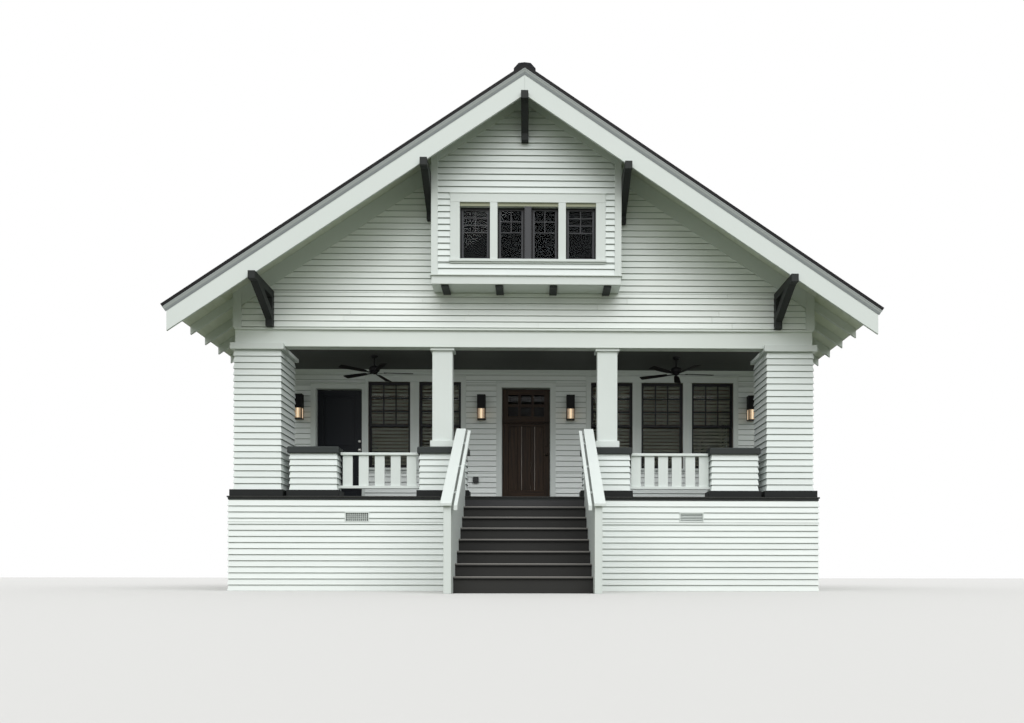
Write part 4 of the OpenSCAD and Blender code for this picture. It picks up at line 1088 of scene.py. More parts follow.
@dataclass(frozen=True)
class Windows:
    """Double-hung windows: two sashes one behind the other, bars in the upper one, boards, sill and blind."""

    stile: float = 0.048
    bar: float = 0.022
    upper: Span = (-0.040, -0.076)
    lower: Span = (-0.078, -0.114)
    glass: float = 0.005
    board_t: float = 0.030
    slat: float = 0.050
    slat_pitch: float = 0.067
    slat_turn: float = 48.0
    blind: Span = (0.012, -0.1325)

    def build(self) -> None:
        """Makes the boards, sashes, panes and blinds of all windows."""
        trim, sashes, panes, blinds, upper = (Boards(seed) for seed in range(31, 36))
        for row in OPENINGS.rows():
            self.boards(trim, row)
            for middle in row.middles:
                place = self.spot(row, middle)
                self.sashes(sashes, panes, row.width, row.height, place)
                self.hang(blinds, row.width, row.height, place)
        self.bay(trim, upper, sashes, panes)
        trim.piece("window_boards", TRIM, ease=0.0025, replaces=["casings"])
        sashes.piece("window_sash_frames", SASH, ease=0.0015, replaces=["window_sashes"])
        upper.piece("bay_sash_frames", SASH_PAINTED_LIT, ease=0.0015)
        self.blackout()
        panes.piece("window_panes", GLASS, replaces=["window_glass"])
        blinds.piece("window_blinds", SLATS_PAINTED_LIGHTER)

    @staticmethod
    def spot(row: Row, middle: float) -> Place:
        """Mapping of one window: across from its middle, out of the wall, up from its sill."""
        return lambda x, out, z: row.facing.points(row.at, middle + x, out, row.sill + z)

    def boards(self, trim: Boards, row: Row) -> None:
        """Side boards, the wide board between two windows, head with its cap, sill and apron."""
        face, half, top, thick = row.facing.face(row.at), row.width / 2, row.sill + row.height, self.board_t
        a0, a1, z0, z1 = row.hole()
        edges = [a0, *(m + s * half for m in row.middles for s in (-1, 1)), a1]
        trim.each(face, *((b0, b1, 0, thick, row.sill, top) for b0, b1 in zip(edges[::2], edges[1::2])))
        trim.each(
            face,
            (a0, a1, 0, thick + 0.002, top, z1 - 0.022),
            (a0 - 0.004, a1 + 0.004, 0, 0.052, z1 - 0.022, z1),
            (a0 - 0.004, a1 + 0.004, 0, 0.06, row.sill - 0.042, row.sill),
            (a0, a1, 0, thick - 0.003, z0, row.sill - 0.042),
        )

    def frame(self, sashes: Boards, lights: Edges, depth: Span, place: Place, rails: Span) -> None:
        """Four members of a sash: stiles through, rails between them.

        Args:
            sashes: the piece that takes them.
            lights: outer edges of the sash as (left, right, foot, top).
            depth: its outer and inner face.
            place: mapping of the window.
            rails: heights of the lower and the upper rail.
        """
        x0, x1, z0, z1 = lights
        out, inner = depth
        for a, b in ((x0, x0 + self.stile), (x1 - self.stile, x1)):
            sashes.each(place, (a, b, inner, out, z0, z1))
        for a, b in ((z0, z0 + rails[0]), (z1 - rails[1], z1)):
            sashes.each(place, (x0 + self.stile, x1 - self.stile, inner, out, a, b))

    def bars(self, sashes: Boards, lights: Edges, depth: Span, place: Place, count: tuple[int, int]) -> None:
        """Bars that part a sash's glass into columns and rows, in front of the glass and behind it."""
        x0, x1, z0, z1 = lights
        out, inner, half = depth[0] - 0.006, depth[1] + 0.006, self.bar / 2
        for i in range(1, count[0]):
            x = x0 + i * (x1 - x0) / count[0]
            sashes.each(place, (x - half, x + half, inner, out, z0, z1))
        for i in range(1, count[1]):
            z = z0 + i * (z1 - z0) / count[1]
            sashes.each(place, (x0, x1, inner + 0.002, out - 0.002, z - half, z + half))

    def pane(self, panes: Boards, lights: Edges, depth: Span, place: Place) -> None:
        """One pane in the middle of its sash."""
        middle = sum(depth) / 2
        panes.each(place, (*lights[:2], middle - self.glass / 2, middle + self.glass / 2, *lights[2:]))

    def sashes(self, sashes: Boards, panes: Boards, width: float, height: float, place: Place) -> None:
        """Upper sash of three by three lights over an undivided lower one."""
        half, meet = width / 2, height / 2
        self.frame(sashes, (-half, half, meet - 0.02, height), self.upper, place, (0.04, 0.048))
        self.frame(sashes, (-half, half, 0.0, meet + 0.02), self.lower, place, (0.07, 0.04))
        light = (-half + self.stile, half - self.stile, meet + 0.02, height - 0.048)
        self.bars(sashes, light, self.upper, place, (3, 3))
        self.pane(panes, light, self.upper, place)
        self.pane(panes, (*light[:2], 0.07, meet - 0.02), self.lower, place)
        sashes.each(place, (-0.03, 0.03, self.lower[0], self.lower[0] - 0.03, meet + 0.02, meet + 0.032))

    def hang(self, blinds: Boards, width: float, height: float, place: Place) -> None:
        """Head rail over slats that lean by one angle: a slat's edge lies at (w/2)(cos t, sin t) from its middle."""
        half, middle = width / 2 - self.blind[0], self.blind[1]
        blinds.each(place, (-half, half, middle - 0.017, middle + 0.017, height - 0.05, height - 0.004))
        z, turn = np.arange(0.03, height - 0.07, self.slat_pitch), math.radians(self.slat_turn)
        lean = self.slat / 2 * np.array([math.cos(turn), math.sin(turn)])
        thick = 0.0011 * np.array([-math.sin(turn), math.cos(turn)])
        slat = np.array([lean + thick, lean - thick, -lean - thick, -lean + thick])
        slats = np.stack(np.broadcast_arrays(middle + slat[:, 0], z[:, None] + slat[:, 1]), axis=-1)
        blinds.runs(slats, -half, half, 0, place)
        for x in (-half * 0.62, half * 0.62):
            blinds.each(place, (x - 0.001, x + 0.001, middle + 0.0142, middle + 0.0158, 0.02, height - 0.05))

    @staticmethod
    def blackout() -> None:
        """Drawn blackout blinds behind the bay's lights, hanging in one sheet from a roller."""
        cloth, y = Boards(36), 0.115 - H.bay_out
        low, high = H.bay_sill + 0.01, H.bay_sill + H.bay_glass - 0.04
        for middle in H.bay_lights:
            x = H.bay_win + middle
            cloth.each(house, (x - 0.265, x + 0.265, y, y + 0.0015, low, high))
            cloth.lathe([(0.018, -0.265), (0.018, 0.265)], (x, y + 0.019, high + 0.018), 20, 0)
        cloth.piece("bay_blinds", BLACKOUT)

    def bay(self, trim: Boards, sashes: Boards, dark: Boards, panes: Boards) -> None:
        """The bay's four lights in one surround, a dark post in the middle: small panes over an undivided one."""
        face = lambda a, o, z: Facing.FRONT.points(-H.bay_out, H.bay_win + a, o, z)
        low, high, side, post, reveal = H.bay_sill, H.bay_sill + H.bay_glass, H.bay_trim, 0.045, 0.055
        slim, shaded, thick = Windows(stile=0.026, bar=0.013), Boards(37), self.board_t
        for s in (-1, 1):
            for a, b in ((0.490, 0.610), (1.095, side)):
                trim.each(face, (*sorted((s * a, s * b)), 0, thick, low, high + reveal))
            lining = sorted((s * (post + HAIR), s * (post + 0.010)))
            sashes.each(face, (*lining, -0.060, 0.010, low, high))
        sashes.each(face, (-post, post, HAIR, 0.012, low, high))
        trim.each(face, (-side, side, 0, thick + 0.002, high + reveal, high + 0.195))
        for a, b in ((-1.095, -0.610), (-0.490, 0.490), (0.610, 1.095)):
            shaded.each(face, (a + SLIT, b - SLIT, 0, 0.006, high + SLIT, high + reveal - SLIT))
        shaded.piece("bay_head_strips", SHADED)
        trim.each(
            face,
            (-side - 0.012, side + 0.012, 0, 0.042, high + 0.195, high + 0.21),
            (-side - 0.012, side + 0.012, 0, 0.050, low - 0.04, low),
            (-side, side, 0, thick - 0.003, low - 0.065, low - 0.04),
        )
        split, depth, top, bar = 0.54 * H.bay_glass, (-0.060, -0.096), H.bay_glass - 0.042, slim.bar / 2
        outer, inner = (0.485 / 2, 3), (0.435 / 2, 2)
        for middle, (half, rows) in zip(H.bay_lights, (outer, inner, inner, outer)):
            place = lambda x, out, z, m=middle: face(m + x, out, low + z)
            slim.frame(dark, (-half, half, 0.0, H.bay_glass), depth, place, (0.030, 0.024))
            liner = (0.0262 - half, half - 0.0262, 0.0302, H.bay_glass - 0.0242)
            slim.frame(sashes, liner, (depth[0] - 0.006, depth[1]), place, (0.0248, 0.0178))
            light = (-half + 0.0524, half - 0.0524, split, top)
            slim.bars(sashes, light, depth, place, (2, rows))
            sashes.each(place, (*light[:2], depth[1] + 0.008, depth[0] - 0.008, split - bar, split + bar))
            self.pane(panes, (*light[:2], 0.055, top), depth, place)


@dataclass(frozen=True)
class Roof:
    """Roof slopes: painted planks seen from below, a dark edge, shingles and ridge caps; boards, tails, brackets."""

    plank: float = 0.138
    plank_t: float = 0.018
    edge_low: float = 0.019
    edge_top: float = 0.046
    exposure: float = 0.118
    tab: float = 0.305
    slot: float = 0.006
    cap: float = 0.150
    tail_end: float = 5.56
    tail_half: float = 0.0225
    tail_h: float = 0.15
    tail_step: float = 0.612
    notch_half: float = 0.0573
    notch: float = 0.0303

    @property
    def ends(self) -> Span:
        """Front and rear ends of the roof."""
        reach = H.over + H.board + H.crown
        return (-reach, H.rear_y + reach)

    def build(self) -> None:
        """Makes both slopes, the ridge, and the woodwork under the overhangs."""
        self.slope(-1, "left")
        self.slope(1, "right")
        self.ridge()
        self.bargeboards()
        self.tails()
        eased_node("gable_brackets", CHARCOAL, 0.006, "knee_brackets")

    def slope(self, side: int, word: str) -> None:
        """Planks, edge and shingles of one slope, placed by distance from the ridge, Y and height over its underside.

        A course of shingles is a wedge: its lower edge stands 12 mm over the course below it, and its slots are
        shifted by half a tab from one course to the next.

        Args:
            side: -1 for the left slope, 1 for the right one.
            word: the same in the names of its pieces and of the slab that they replace.
        """
        y0, y1 = self.ends
        place = lambda x, y, lift: house(side * x, y, H.roof(x) + lift)
        planks = Boards(40 + side)
        x = np.arange(0.002, H.eave - 0.03, self.plank)
        last = np.minimum(x + self.plank - 0.003, H.edge(0.0) - 0.0040)
        planks.blocks(house(x, y0 + 0.012, 0.0006), house(last, y1 - 0.012, self.plank_t), place)
        planks.piece(f"roof_planks_{word}", SOFFIT, replaces=[f"roof_{word}"])
        deck = Boards(43 + side)
        levels = np.array([self.edge_low, self.edge_low, self.edge_top, self.edge_top])
        section = np.stack([[0.001, *(H.edge(levels[1:3]) - 0.004), 0.001], levels], axis=1)
        deck.runs(section, y0 + 0.004, y1 - 0.004, 1, place)
        deck.piece(f"roof_deck_{word}", IRON)
        drip = Boards(56 + side)
        low, high, middle = levels = np.array([0.0006, 0.0616, 0.0455])
        foot, top, waist = H.edge(levels) - HAIR
        for y in (y0 + 0.0002, y1 - 0.0032):
            drip.runs([(0.0005, low), (foot, low), (top, high), (0.0005, high)], y, y + 0.003, 1, place)
        strip = [(foot - 0.003, low), (foot, low), (waist, middle), (waist - 0.003, middle)]
        drip.runs(strip, y0 + 0.0034, y1 - 0.0034, 1, place)
        drip.piece(f"roof_drip_edge_{word}", IRON)
        tabs, sections, starts, ends = Boards(46 + side), [], [], []
        count = int(H.eave // self.exposure)
        drop = H.eave / count
        for course in range(count):
            top, foot = course * drop, (course + 1) * drop
            shift = (course % 2) * self.tab / 2 + float(tabs.rng.uniform(-0.02, 0.02))
            y = np.arange(y0 - shift, y1, self.tab)
            a, b = np.maximum(y, y0 + 0.0036), np.minimum(y + self.tab - self.slot, y1 - 0.0036)
            keep = b - a > 0.02
            section = [(top, 0.0462), (top, 0.0505), (foot, 0.062), (foot - H.eave + H.edge(0.0462), 0.0462)]
            sections.append(np.tile(section, (int(keep.sum()), 1, 1)))
            starts.append(a[keep])
            ends.append(b[keep])
        tabs.runs(*(np.concatenate(kept) for kept in (sections, starts, ends)), 1, place)
        tabs.piece(f"roof_shingles_{word}", SHINGLE)

    def ridge(self) -> None:
        """Cap shingles over the ridge, each lying on the one behind it."""
        y0, y1 = self.ends
        top, width, thick = H.ridge + H.roof_t + 0.0006, 0.17, 0.042
        flat, foot = 0.55 * width, top - H.pitch * width
        right = [(width, foot), (width, foot + thick - 0.008), (flat, top - 0.12 * flat + thick / 2 - 0.006)]
        outline = [(0.0, top), *right, (0.0, top + thick / 2 - 0.006), *((-x, z) for x, z in right[::-1])]
        count = int((y1 - y0) // self.cap)
        step = (y1 - y0) / count
        y = y0 + step * np.arange(count)
        rings = np.zeros((count, 2, len(outline), 3))
        rings[..., 0], rings[..., 2] = np.array(outline).T
        rings[:, 0, :, 1], rings[:, 1, :, 1] = y[:, None], y[:, None] + step - 0.002
        upper = np.array([0, 0, 1, 1, 1, 1, 1, 0])
        rings[:, 0, :, 2] += 0.006 * upper
        rings[:, 1, :, 2] -= 0.001 * upper
        caps = Boards(50)
        caps.tubes(rings)
        caps.piece("ridge_caps", SHINGLE, replaces=["ridge_cap"])

    def bargeboards(self) -> None:
        """Wide boards along the gable slopes, notched over the brackets, with a moulding under the shingles.

        The moulding's section, out of the board and down from the roof, is carried along the slope.
        """
        boards, crowns = Boards(51), Boards(53)
        out = np.array([0.0, 0.0235, 0.0235, 0.019, 0.0175, 0.014, 0.0085, 0.0085, 0.005, 0.005, 0.0])
        down = np.array([0.0, 0.0, 0.016, 0.022, 0.036, 0.052, 0.066, 0.078, 0.084, 0.095, 0.095])
        # painted shade on the moulding: more of the darker edge colour towards its lower half
        painted_shade = np.array([0, 0.3, 0.2, 0, 0, 0.1, 0.9, 1.0, 1.0, 1.0, 0.5])
        x = np.stack([np.full_like(down, 0.0006), H.edge(-down)])
        for facing, at in ((Facing.FRONT, -H.over), (Facing.REAR, H.rear_y + H.over)):
            for side in (-1, 1):
                place = lambda x, o, z, f=facing, p=at, s=side: f.points(p, s * x, o, z)
                along = (side * 1.0, 0.0, -H.pitch)
                boards.runs(self.board_outline(side), 0.0, H.board, 1, place, along=along)
                crowns.tubes(house(x, H.board + out, H.roof(x) - down), place, along=along, wear=np.tile(painted_shade, 2))
        boards.piece("barge_boards", TRIM, ease=0.003, replaces=["bargeboards"])
        crowns.piece("barge_mouldings", CROWN_PAINTED_SHADE)

    def board_outline(self, side: int) -> list[Span]:
        """Outline of the board on one side, as distances from the ridge and heights, with its three notches."""
        end, start = H.barge_end, 0.0006
        under = lambda x: float(H.roof(x)) - H.barge
        outline = [(start, float(H.roof(start))), (end, float(H.roof(end))), (end, under(end))]
        for x in (4.2, 1.587 + side * H.bay_x, 0.0):
            top, outer, inner = under(x) + self.notch, x + self.notch_half, x - self.notch_half
            outline += [(outer, under(outer)), (outer, top)]
            outline += [(inner, top), (inner, under(inner))] if x else [(start, top)]
        return outline

    def tails(self) -> None:
        """Rafter tails, cut off plumb behind the roof's edge."""
        boards, y = Boards(52), 0.355 - H.over + self.tail_step * np.arange(22)
        x = np.array([H.half, self.tail_end, self.tail_end, H.half])
        z = H.roof(x) - [self.tail_h, self.tail_h, 0.0, 0.0]
        for side in (-1, 1):
            boards.runs(np.stack([side * x, z], axis=1), y - self.tail_half, y + self.tail_half, 1)
        boards.piece("rafter_feet", TRIM, ease=0.003, replaces=["rafter_tails"])


@dataclass(frozen=True)
class Porch:
    """Porch: flooring, ceiling, beam, caps, plinths, posts and railings."""

    floor_board: float = 0.083
    ceiling_board: float = 0.089
    ceiling_y: float = 0.20
    deck_x: float = 4.89
    rail_top: float = 0.753
    rail_low: float = 0.150
    rail_h: float = 0.046
    rail_d: float = 0.080
    baluster: Span = (0.163, 0.025)
    cap_half: float = 0.425
    cap_y: Span = (-0.01, 0.35)
    cap_foot: float = 0.725

    def build(self) -> None:
        """Makes every part of the porch."""
        self.floor()
        self.ceiling()
        self.railings()
        self.caps()
        eased_node("porch_posts", TRIM, 0.005, "porch_post_timbers")
        eased_node("plinths", BASE, 0.006, "plinth_blocks")
        eased_node("porch_beam", BEAM, 0.004, "beam_casing")
        eased_node("bay_corbels", CAP, 0.006, "bay_blocks")

    def floor(self) -> None:
        """Narrow floorboards that run out to a rounded nosing, on a dark board along the edge."""
        boards, count, front = Boards(60), int(2 * self.deck_x // self.floor_board), H.deck_front
        step = 2 * self.deck_x / count
        x = -self.deck_x + step * np.arange(count)
        nose = [(front + 0.005, 0.0), (front, -0.004), (front, -0.018), (front + 0.006, -0.025)]
        section = np.array([(H.wall_y, 0.0), *nose, (H.wall_y, -0.025)]) + [0.0, H.deck]
        boards.runs(section, x + 0.0008, x + step - 0.0008, 0, wear=np.tile([0.0, 0.35, 0.6, 0.3, 0.0, 0.0], 2))
        boards.piece("porch_flooring", DECK, replaces=["porch_floor"])
        edge, low, high = Boards(61), H.deck - 0.06, H.deck - 0.0255
        front, side = front + 0.014, self.deck_x - 0.014
        edge.each(
            house,
            (-side, side, front, front + 0.03, low, high),
            (-side, -side + 0.03, front + 0.031, H.wall_y, low, high),
            (side - 0.03, side, front + 0.031, H.wall_y, low, high),
            (-side + 0.031, side - 0.031, front + 0.032, H.wall_y, low + 0.01, high),
        )
        edge.piece("porch_floor_edge", CHARCOAL, ease=0.003)

    def ceiling(self) -> None:
        """Beaded boards along the porch, a groove in the middle of each."""
        boards, inner, y0, y1 = Boards(62), H.half - H.wall, self.ceiling_y, H.wall_y
        count = int((y1 - y0) // self.ceiling_board)
        step = (y1 - y0) / count
        half, y = step / 2, y0 + step * np.arange(count)[:, None]
        across = [0.0, 0.003, half - 0.004, half - 0.002, half + 0.002, half + 0.004, step - 0.003]
        across += [step - 0.0006, step - 0.0006, 0.0]
        up = np.array([0.006, 0.0, 0.0, 0.003, 0.003, 0.0, 0.0, 0.006, 0.014, 0.014])
        boards.runs(np.stack(np.broadcast_arrays(y + across, H.ceiling + up), axis=-1), -inner, inner, 0)
        boards.each(house, (-inner, inner, y0, y1, H.ceiling + 0.0142, H.beam_top - 0.0005))
        boards.piece("ceiling_boards", CEILING, replaces=["porch_ceiling"])

    def railings(self) -> None:
        """Rails with flat, wide balusters: two bays in front, notched under the piers' caps, and beside the pillars.

        The balusters of a bay follow one another at equal steps, counted from its outer pier.
        """
        boards, half = Boards(63), self.rail_d / 2
        width, thick = self.baluster
        z0, z1 = H.deck + self.rail_low, H.deck + self.rail_top
        z2, z3 = z0 + self.rail_h, z1 - self.rail_h
        front = lambda a, o, z: house(a, 0.17 + o, z)
        bays = [(-3.13, 1, 1.395, 0.081, 0.267, 5, 0.0503, front), (3.13, -1, 1.395, 0.036, 0.229, 6, 0.0503, front)]
        for s in (-1, 1):
            bays.append((0.77, 1, 1.38, 0.0, 0.276, 5, 0.0, lambda a, o, z, x=s * 4.415: house(x + o, a, z)))
        rail = [(-half, z3), (half, z3), (half, z1 - 0.012), (half - 0.014, z1)]
        rail += [(0.014 - half, z1), (-half, z1 - 0.012)]
        for outer, way, length, first, step, count, trim, place in bays:
            from_pier = lambda a, o, z, x=outer, s=way, p=place: p(x + s * a, o, z)
            boards.runs(rail, trim, length - trim, 0, from_pier)
            boards.each(from_pier, (0.0, length, -half, half, z0, z2))
            start = first + np.arange(count) * step
            boards.blocks(house(start, -thick / 2, z2 - 0.002), house(start + width, thick / 2, z3 + 0.002), from_pier)
        boards.piece("railing_timbers", TRIM, ease=0.003, replaces=["porch_railings"])

    def caps(self) -> None:
        """Pier caps with sloping tops, and the pillars' caps."""
        boards, foot = Boards(64), H.deck + self.cap_foot
        y0, y1 = self.cap_y
        for x in Walls().pier_x:
            x0, x1 = x - self.cap_half, x + self.cap_half
            rings = []
            for z, i in ((0.0, 0.0), (0.086, 0.0), (0.104, 0.010), (0.110, 0.045)):
                corners = ((x0 + i, y0 + i), (x1 - i, y0 + i), (x1 - i, y1 - i), (x0 + i, y1 - i))
                rings.append([(*corner, foot + z) for corner in corners])
            boards.tubes(np.array(rings))
        boards.piece("pier_cap_stones", CAP, ease=0.004, replaces=["pier_caps"])
        eased_node("pillar_caps", TRIM, 0.004, "pillar_cap_boards")


@dataclass(frozen=True)
class Stair:
    """Front stair: treads of two boards with rounded noses, closed walls, caps and handrails."""

    treads: int = 7
    going: float = 0.29
    first: float = 0.239
    half: float = 0.984
    thick: float = 0.040
    gap: float = 0.004
    round: float = 0.010

    def build(self) -> None:
        """Makes the treads and the uppermost riser, and dresses the frame, rails and walls."""
        boards = Boards(70)
        rise = (H.deck - self.first) / self.treads
        for i in range(self.treads):
            front = H.deck_front - (self.treads - i) * self.going
            back = front + self.going + 0.03 + (0.02 if i < self.treads - 1 else 0.0)
            top, middle = self.first + i * rise, (front + back) / 2
            foot = top - self.thick
            for a, b, nose in ((front, middle - self.gap / 2, True), (middle + self.gap / 2, back, False)):
                r = self.round if nose else 0.003
                section = [(b, foot), (b, top - 0.003), (b - 0.003, top), (a + r, top), (a + 0.3 * r, top - 0.3 * r)]
                section += [(a, top - r), (a, foot + r), (a + 0.3 * r, foot + 0.3 * r), (a + r, foot)]
                # pale noses: real scuffing, and a painted highlight on the rounded edge
                wear = np.array([0, 0, 0, 0.15, 1.0, 0.7, 0.0, 0.0, 0.0]) * nose
                boards.runs(section, -self.half, self.half, 0, wear=np.tile(wear, 2))
        boards.piece("stair_tread_boards", STEP, replaces=["stair_treads"])
        riser, skirt = Boards(71), -H.base_proud
        ends = (-self.half, self.half, skirt - 0.014, skirt - 0.0005)
        riser.each(house, (*ends, H.deck - rise + 0.0005, H.deck - 0.0605))
        riser.piece("stair_top_riser", TOP_RISER, ease=0.002)
        eased_node("stair_frame", STEP_PLAIN, 0.0, "stair_risers")
        eased_node("stair_rails", TRIM, 0.004, "stair_handrails")
        eased_node("stair_walls", TRIM, 0.003, "stair_wall_panels")


@dataclass(frozen=True)
class Doors:
    """Front door of stained wood, painted porch door, and their frames."""

    thick: float = 0.045
    hinge_y: float = 2.309
    front_hinge: float = -0.465
    side_hinge: float = -4.011
    knuckle: float = 0.009
    stile: float = 0.120

    def build(self) -> None:
        """Makes both leaves with their hardware, and the frames."""
        self.front()
        self.side()
        eased_node("door_frames", TRIM, 0.003, "door_frame_boards")
        caps, sills, face = Boards(80), Boards(81), Facing.FRONT.face(H.wall_y)
        for left, right, start, end, top in OPENINGS.doors():
            caps.each(
                face,
                (start - 0.004, end + 0.004, 0.0, 0.052, top, top + 0.022),
                (start, end, 0.0255, 0.036, top - 0.012, top - 0.0005),
            )
            sills.each(face, (left, right, 0.0, 0.045, H.floor - 0.03, H.floor - 0.002))
        caps.piece("door_head_caps", TRIM, ease=0.003)
        sills.piece("door_sills", BRONZE, ease=0.006)

    def leaf(self, hinge_x: float) -> Place:
        """Mapping of a leaf: across from its hinge edge, out of its street face, up from its foot."""
        outer = self.hinge_y - self.knuckle - self.thick
        return lambda x, out, z: house(hinge_x + x, outer - out, H.floor + OPENINGS.leaf_gap + z)

    def front(self) -> None:
        """Two rows of three small lights over a shelf, and three tall sunk panels under it."""
        place, width, height = self.leaf(self.front_hinge), OPENINGS.door_w, OPENINGS.door_h
        wood, highlight_beads = Boards(82), Boards(86)
        stile, mullion, bar, back = self.stile, 0.070, 0.055, -self.thick
        low, shelf, lights, light_h = 0.300, 1.530, 1.725, 0.180
        top, clear = lights + 2 * light_h + bar, width - 2 * stile
        for a, b in ((0.0, stile), (width - stile, width)):
            wood.each(place, (a, b, back, 0.0, 0.0, height))
        for a, b in ((0.0, low), (shelf, lights), (top, height)):
            wood.each(place, (stile + HAIR, width - stile - HAIR, back, 0.0, a, b))
        panel = (clear - 2 * mullion) / 3
        for i in range(3):
            x = stile + i * (panel + mullion)
            if i:
                wood.each(place, (x - mullion, x, back, 0.0, low + HAIR, shelf - HAIR))
            wood.each(place, (x + HAIR, x + panel - HAIR, back + 0.014, -0.016, low + HAIR, shelf - HAIR))
            for z0, z1 in ((low, low + 0.010), (shelf - 0.010, shelf)):
                wood.each(place, (x + 0.0106, x + panel - 0.0106, -0.0158, -0.007, z0 + 0.0005, z1 - 0.0005))
            # painted highlight: the left bead of the second and third panels is pale
            for a, piece in ((x + 0.0005, highlight_beads if i else wood), (x + panel - 0.0105, wood)):
                piece.each(place, (a, a + 0.010, -0.0158, -0.007, low + 0.0005, shelf - 0.0005))
        light = (clear - 2 * bar) / 3
        for i in (1, 2):
            x = stile + i * (light + bar)
            wood.each(place, (x - bar, x, back + 0.004, -0.004, lights + HAIR, top - HAIR))
        z = lights + light_h
        for i in range(3):
            x = stile + i * (light + bar)
            wood.each(place, (x + HAIR, x + light - HAIR, back + 0.004, -0.004, z, z + bar))
        wood.each(place, (0.025, width - 0.025, HAIR, 0.050, shelf + 0.078, shelf + 0.106))
        wood.each(place, (0.035, width - 0.035, HAIR, 0.020, shelf + 0.050, shelf + 0.0776))
        step = (width - 0.12) / 11
        for i in range(11):
            x = 0.06 + (i + 0.5) * step
            wood.each(place, (x - 0.018, x + 0.018, 0.0204, 0.040, shelf + 0.052, shelf + 0.0776))
        wood.piece("front_door_leaf", MAHOGANY, "front_door", ease=0.003, replaces=["front_door"])
        highlight_beads.piece("front_door_highlight_beads", BEAD_HIGHLIGHT, "front_door", ease=0.003)
        glass = Boards(83)
        glass.each(place, (stile - 0.005, width - stile + 0.005, -0.026, -0.020, lights - 0.005, top + 0.005))
        glass.piece("front_door_lights", DOOR_GLASS, "front_door")
        self.hardware("front_door", BRONZE, self.front_hinge, width, height, 1.0)

    def side(self) -> None:
        """Painted leaf of two flat sunk panels."""
        place, width, height = self.leaf(self.side_hinge), OPENINGS.side_door_w, OPENINGS.side_door_h
        stile, foot, rail_low, rail_high, back = self.stile, 0.250, 0.950, 1.100, -self.thick
        boards, gap, inner = Boards(84), SLIT, 0.05
        for a, b in ((0.0, stile), (width - stile, width)):
            boards.each(place, (a, b, back, 0.0, 0.0, height))
        for a, b in ((0.0, foot), (rail_low, rail_high), (height - stile, height)):
            boards.each(place, (stile + gap, width - stile - gap, back, 0.0, a, b))
        for a, b in ((foot, rail_low), (rail_high, height - stile)):
            boards.each(
                place,
                (stile + gap, width - stile - gap, back + 0.014, -0.014, a + gap, b - gap),
                (stile + inner, width - stile - inner, back + 0.006, -0.006, a + inner, b - inner),
            )
        boards.piece("porch_door_leaf", DOOR_PAINT, "porch_door", ease=0.004, replaces=["porch_door"])
        self.hardware("porch_door", NICKEL, self.side_hinge, width, height, 1.07)

    def hardware(self, body: str, finish: Finish, hinge_x: float, width: float, height: float, knob_z: float) -> None:
        """Knob with its rose on both faces, a lock over it, and three hinge knuckles with ball tips.

        Args:
            body: the frame's body of the leaf.
            finish: its metal.
            hinge_x: X of the hinge pins.
            width: width of the leaf.
            height: its height.
            knob_z: height of the knob over the floor.
        """
        parts, r, half = Boards(85), self.knuckle, self.thick / 2
        face = self.hinge_y - r
        knob = [(0.001, 0.070), (0.016, 0.069), (0.0245, 0.064), (0.028, 0.056), (0.0255, 0.049), (0.016, 0.042)]
        knob += [(0.010, 0.036), (0.010, 0.030), (0.026, 0.0285), (0.031, 0.026), (0.032, half)]
        lock = [(0.001, 0.038), (0.020, 0.037), (0.0245, 0.034), (0.026, half)]
        for side in (-1, 1):
            for profile, z in ((knob, H.floor + knob_z), (lock, H.floor + knob_z + 0.17)):
                parts.lathe([(r, side * h) for r, h in profile], (hinge_x + width - 0.065, face - half, z), 32, 1)
        pin = [(0.0008, -0.010), (0.005, -0.008), (0.0062, -0.004), (0.005, 0.0), (r, 0.0005), (r, 0.0995)]
        pin += [(0.005, 0.1), (0.0062, 0.104), (0.005, 0.108), (0.0008, 0.110)]
        for i in range(3):
            z = H.floor + OPENINGS.leaf_gap + 0.2 + i * (height - 0.5) / 2
            parts.lathe(pin, (hinge_x, self.hinge_y, z), 24)
            parts.each(house, (hinge_x, hinge_x + 0.035, face - 0.0005, face + 0.0022, z, z + 0.1))
        parts.piece(f"{body}_hardware", finish, body, smooth=True)


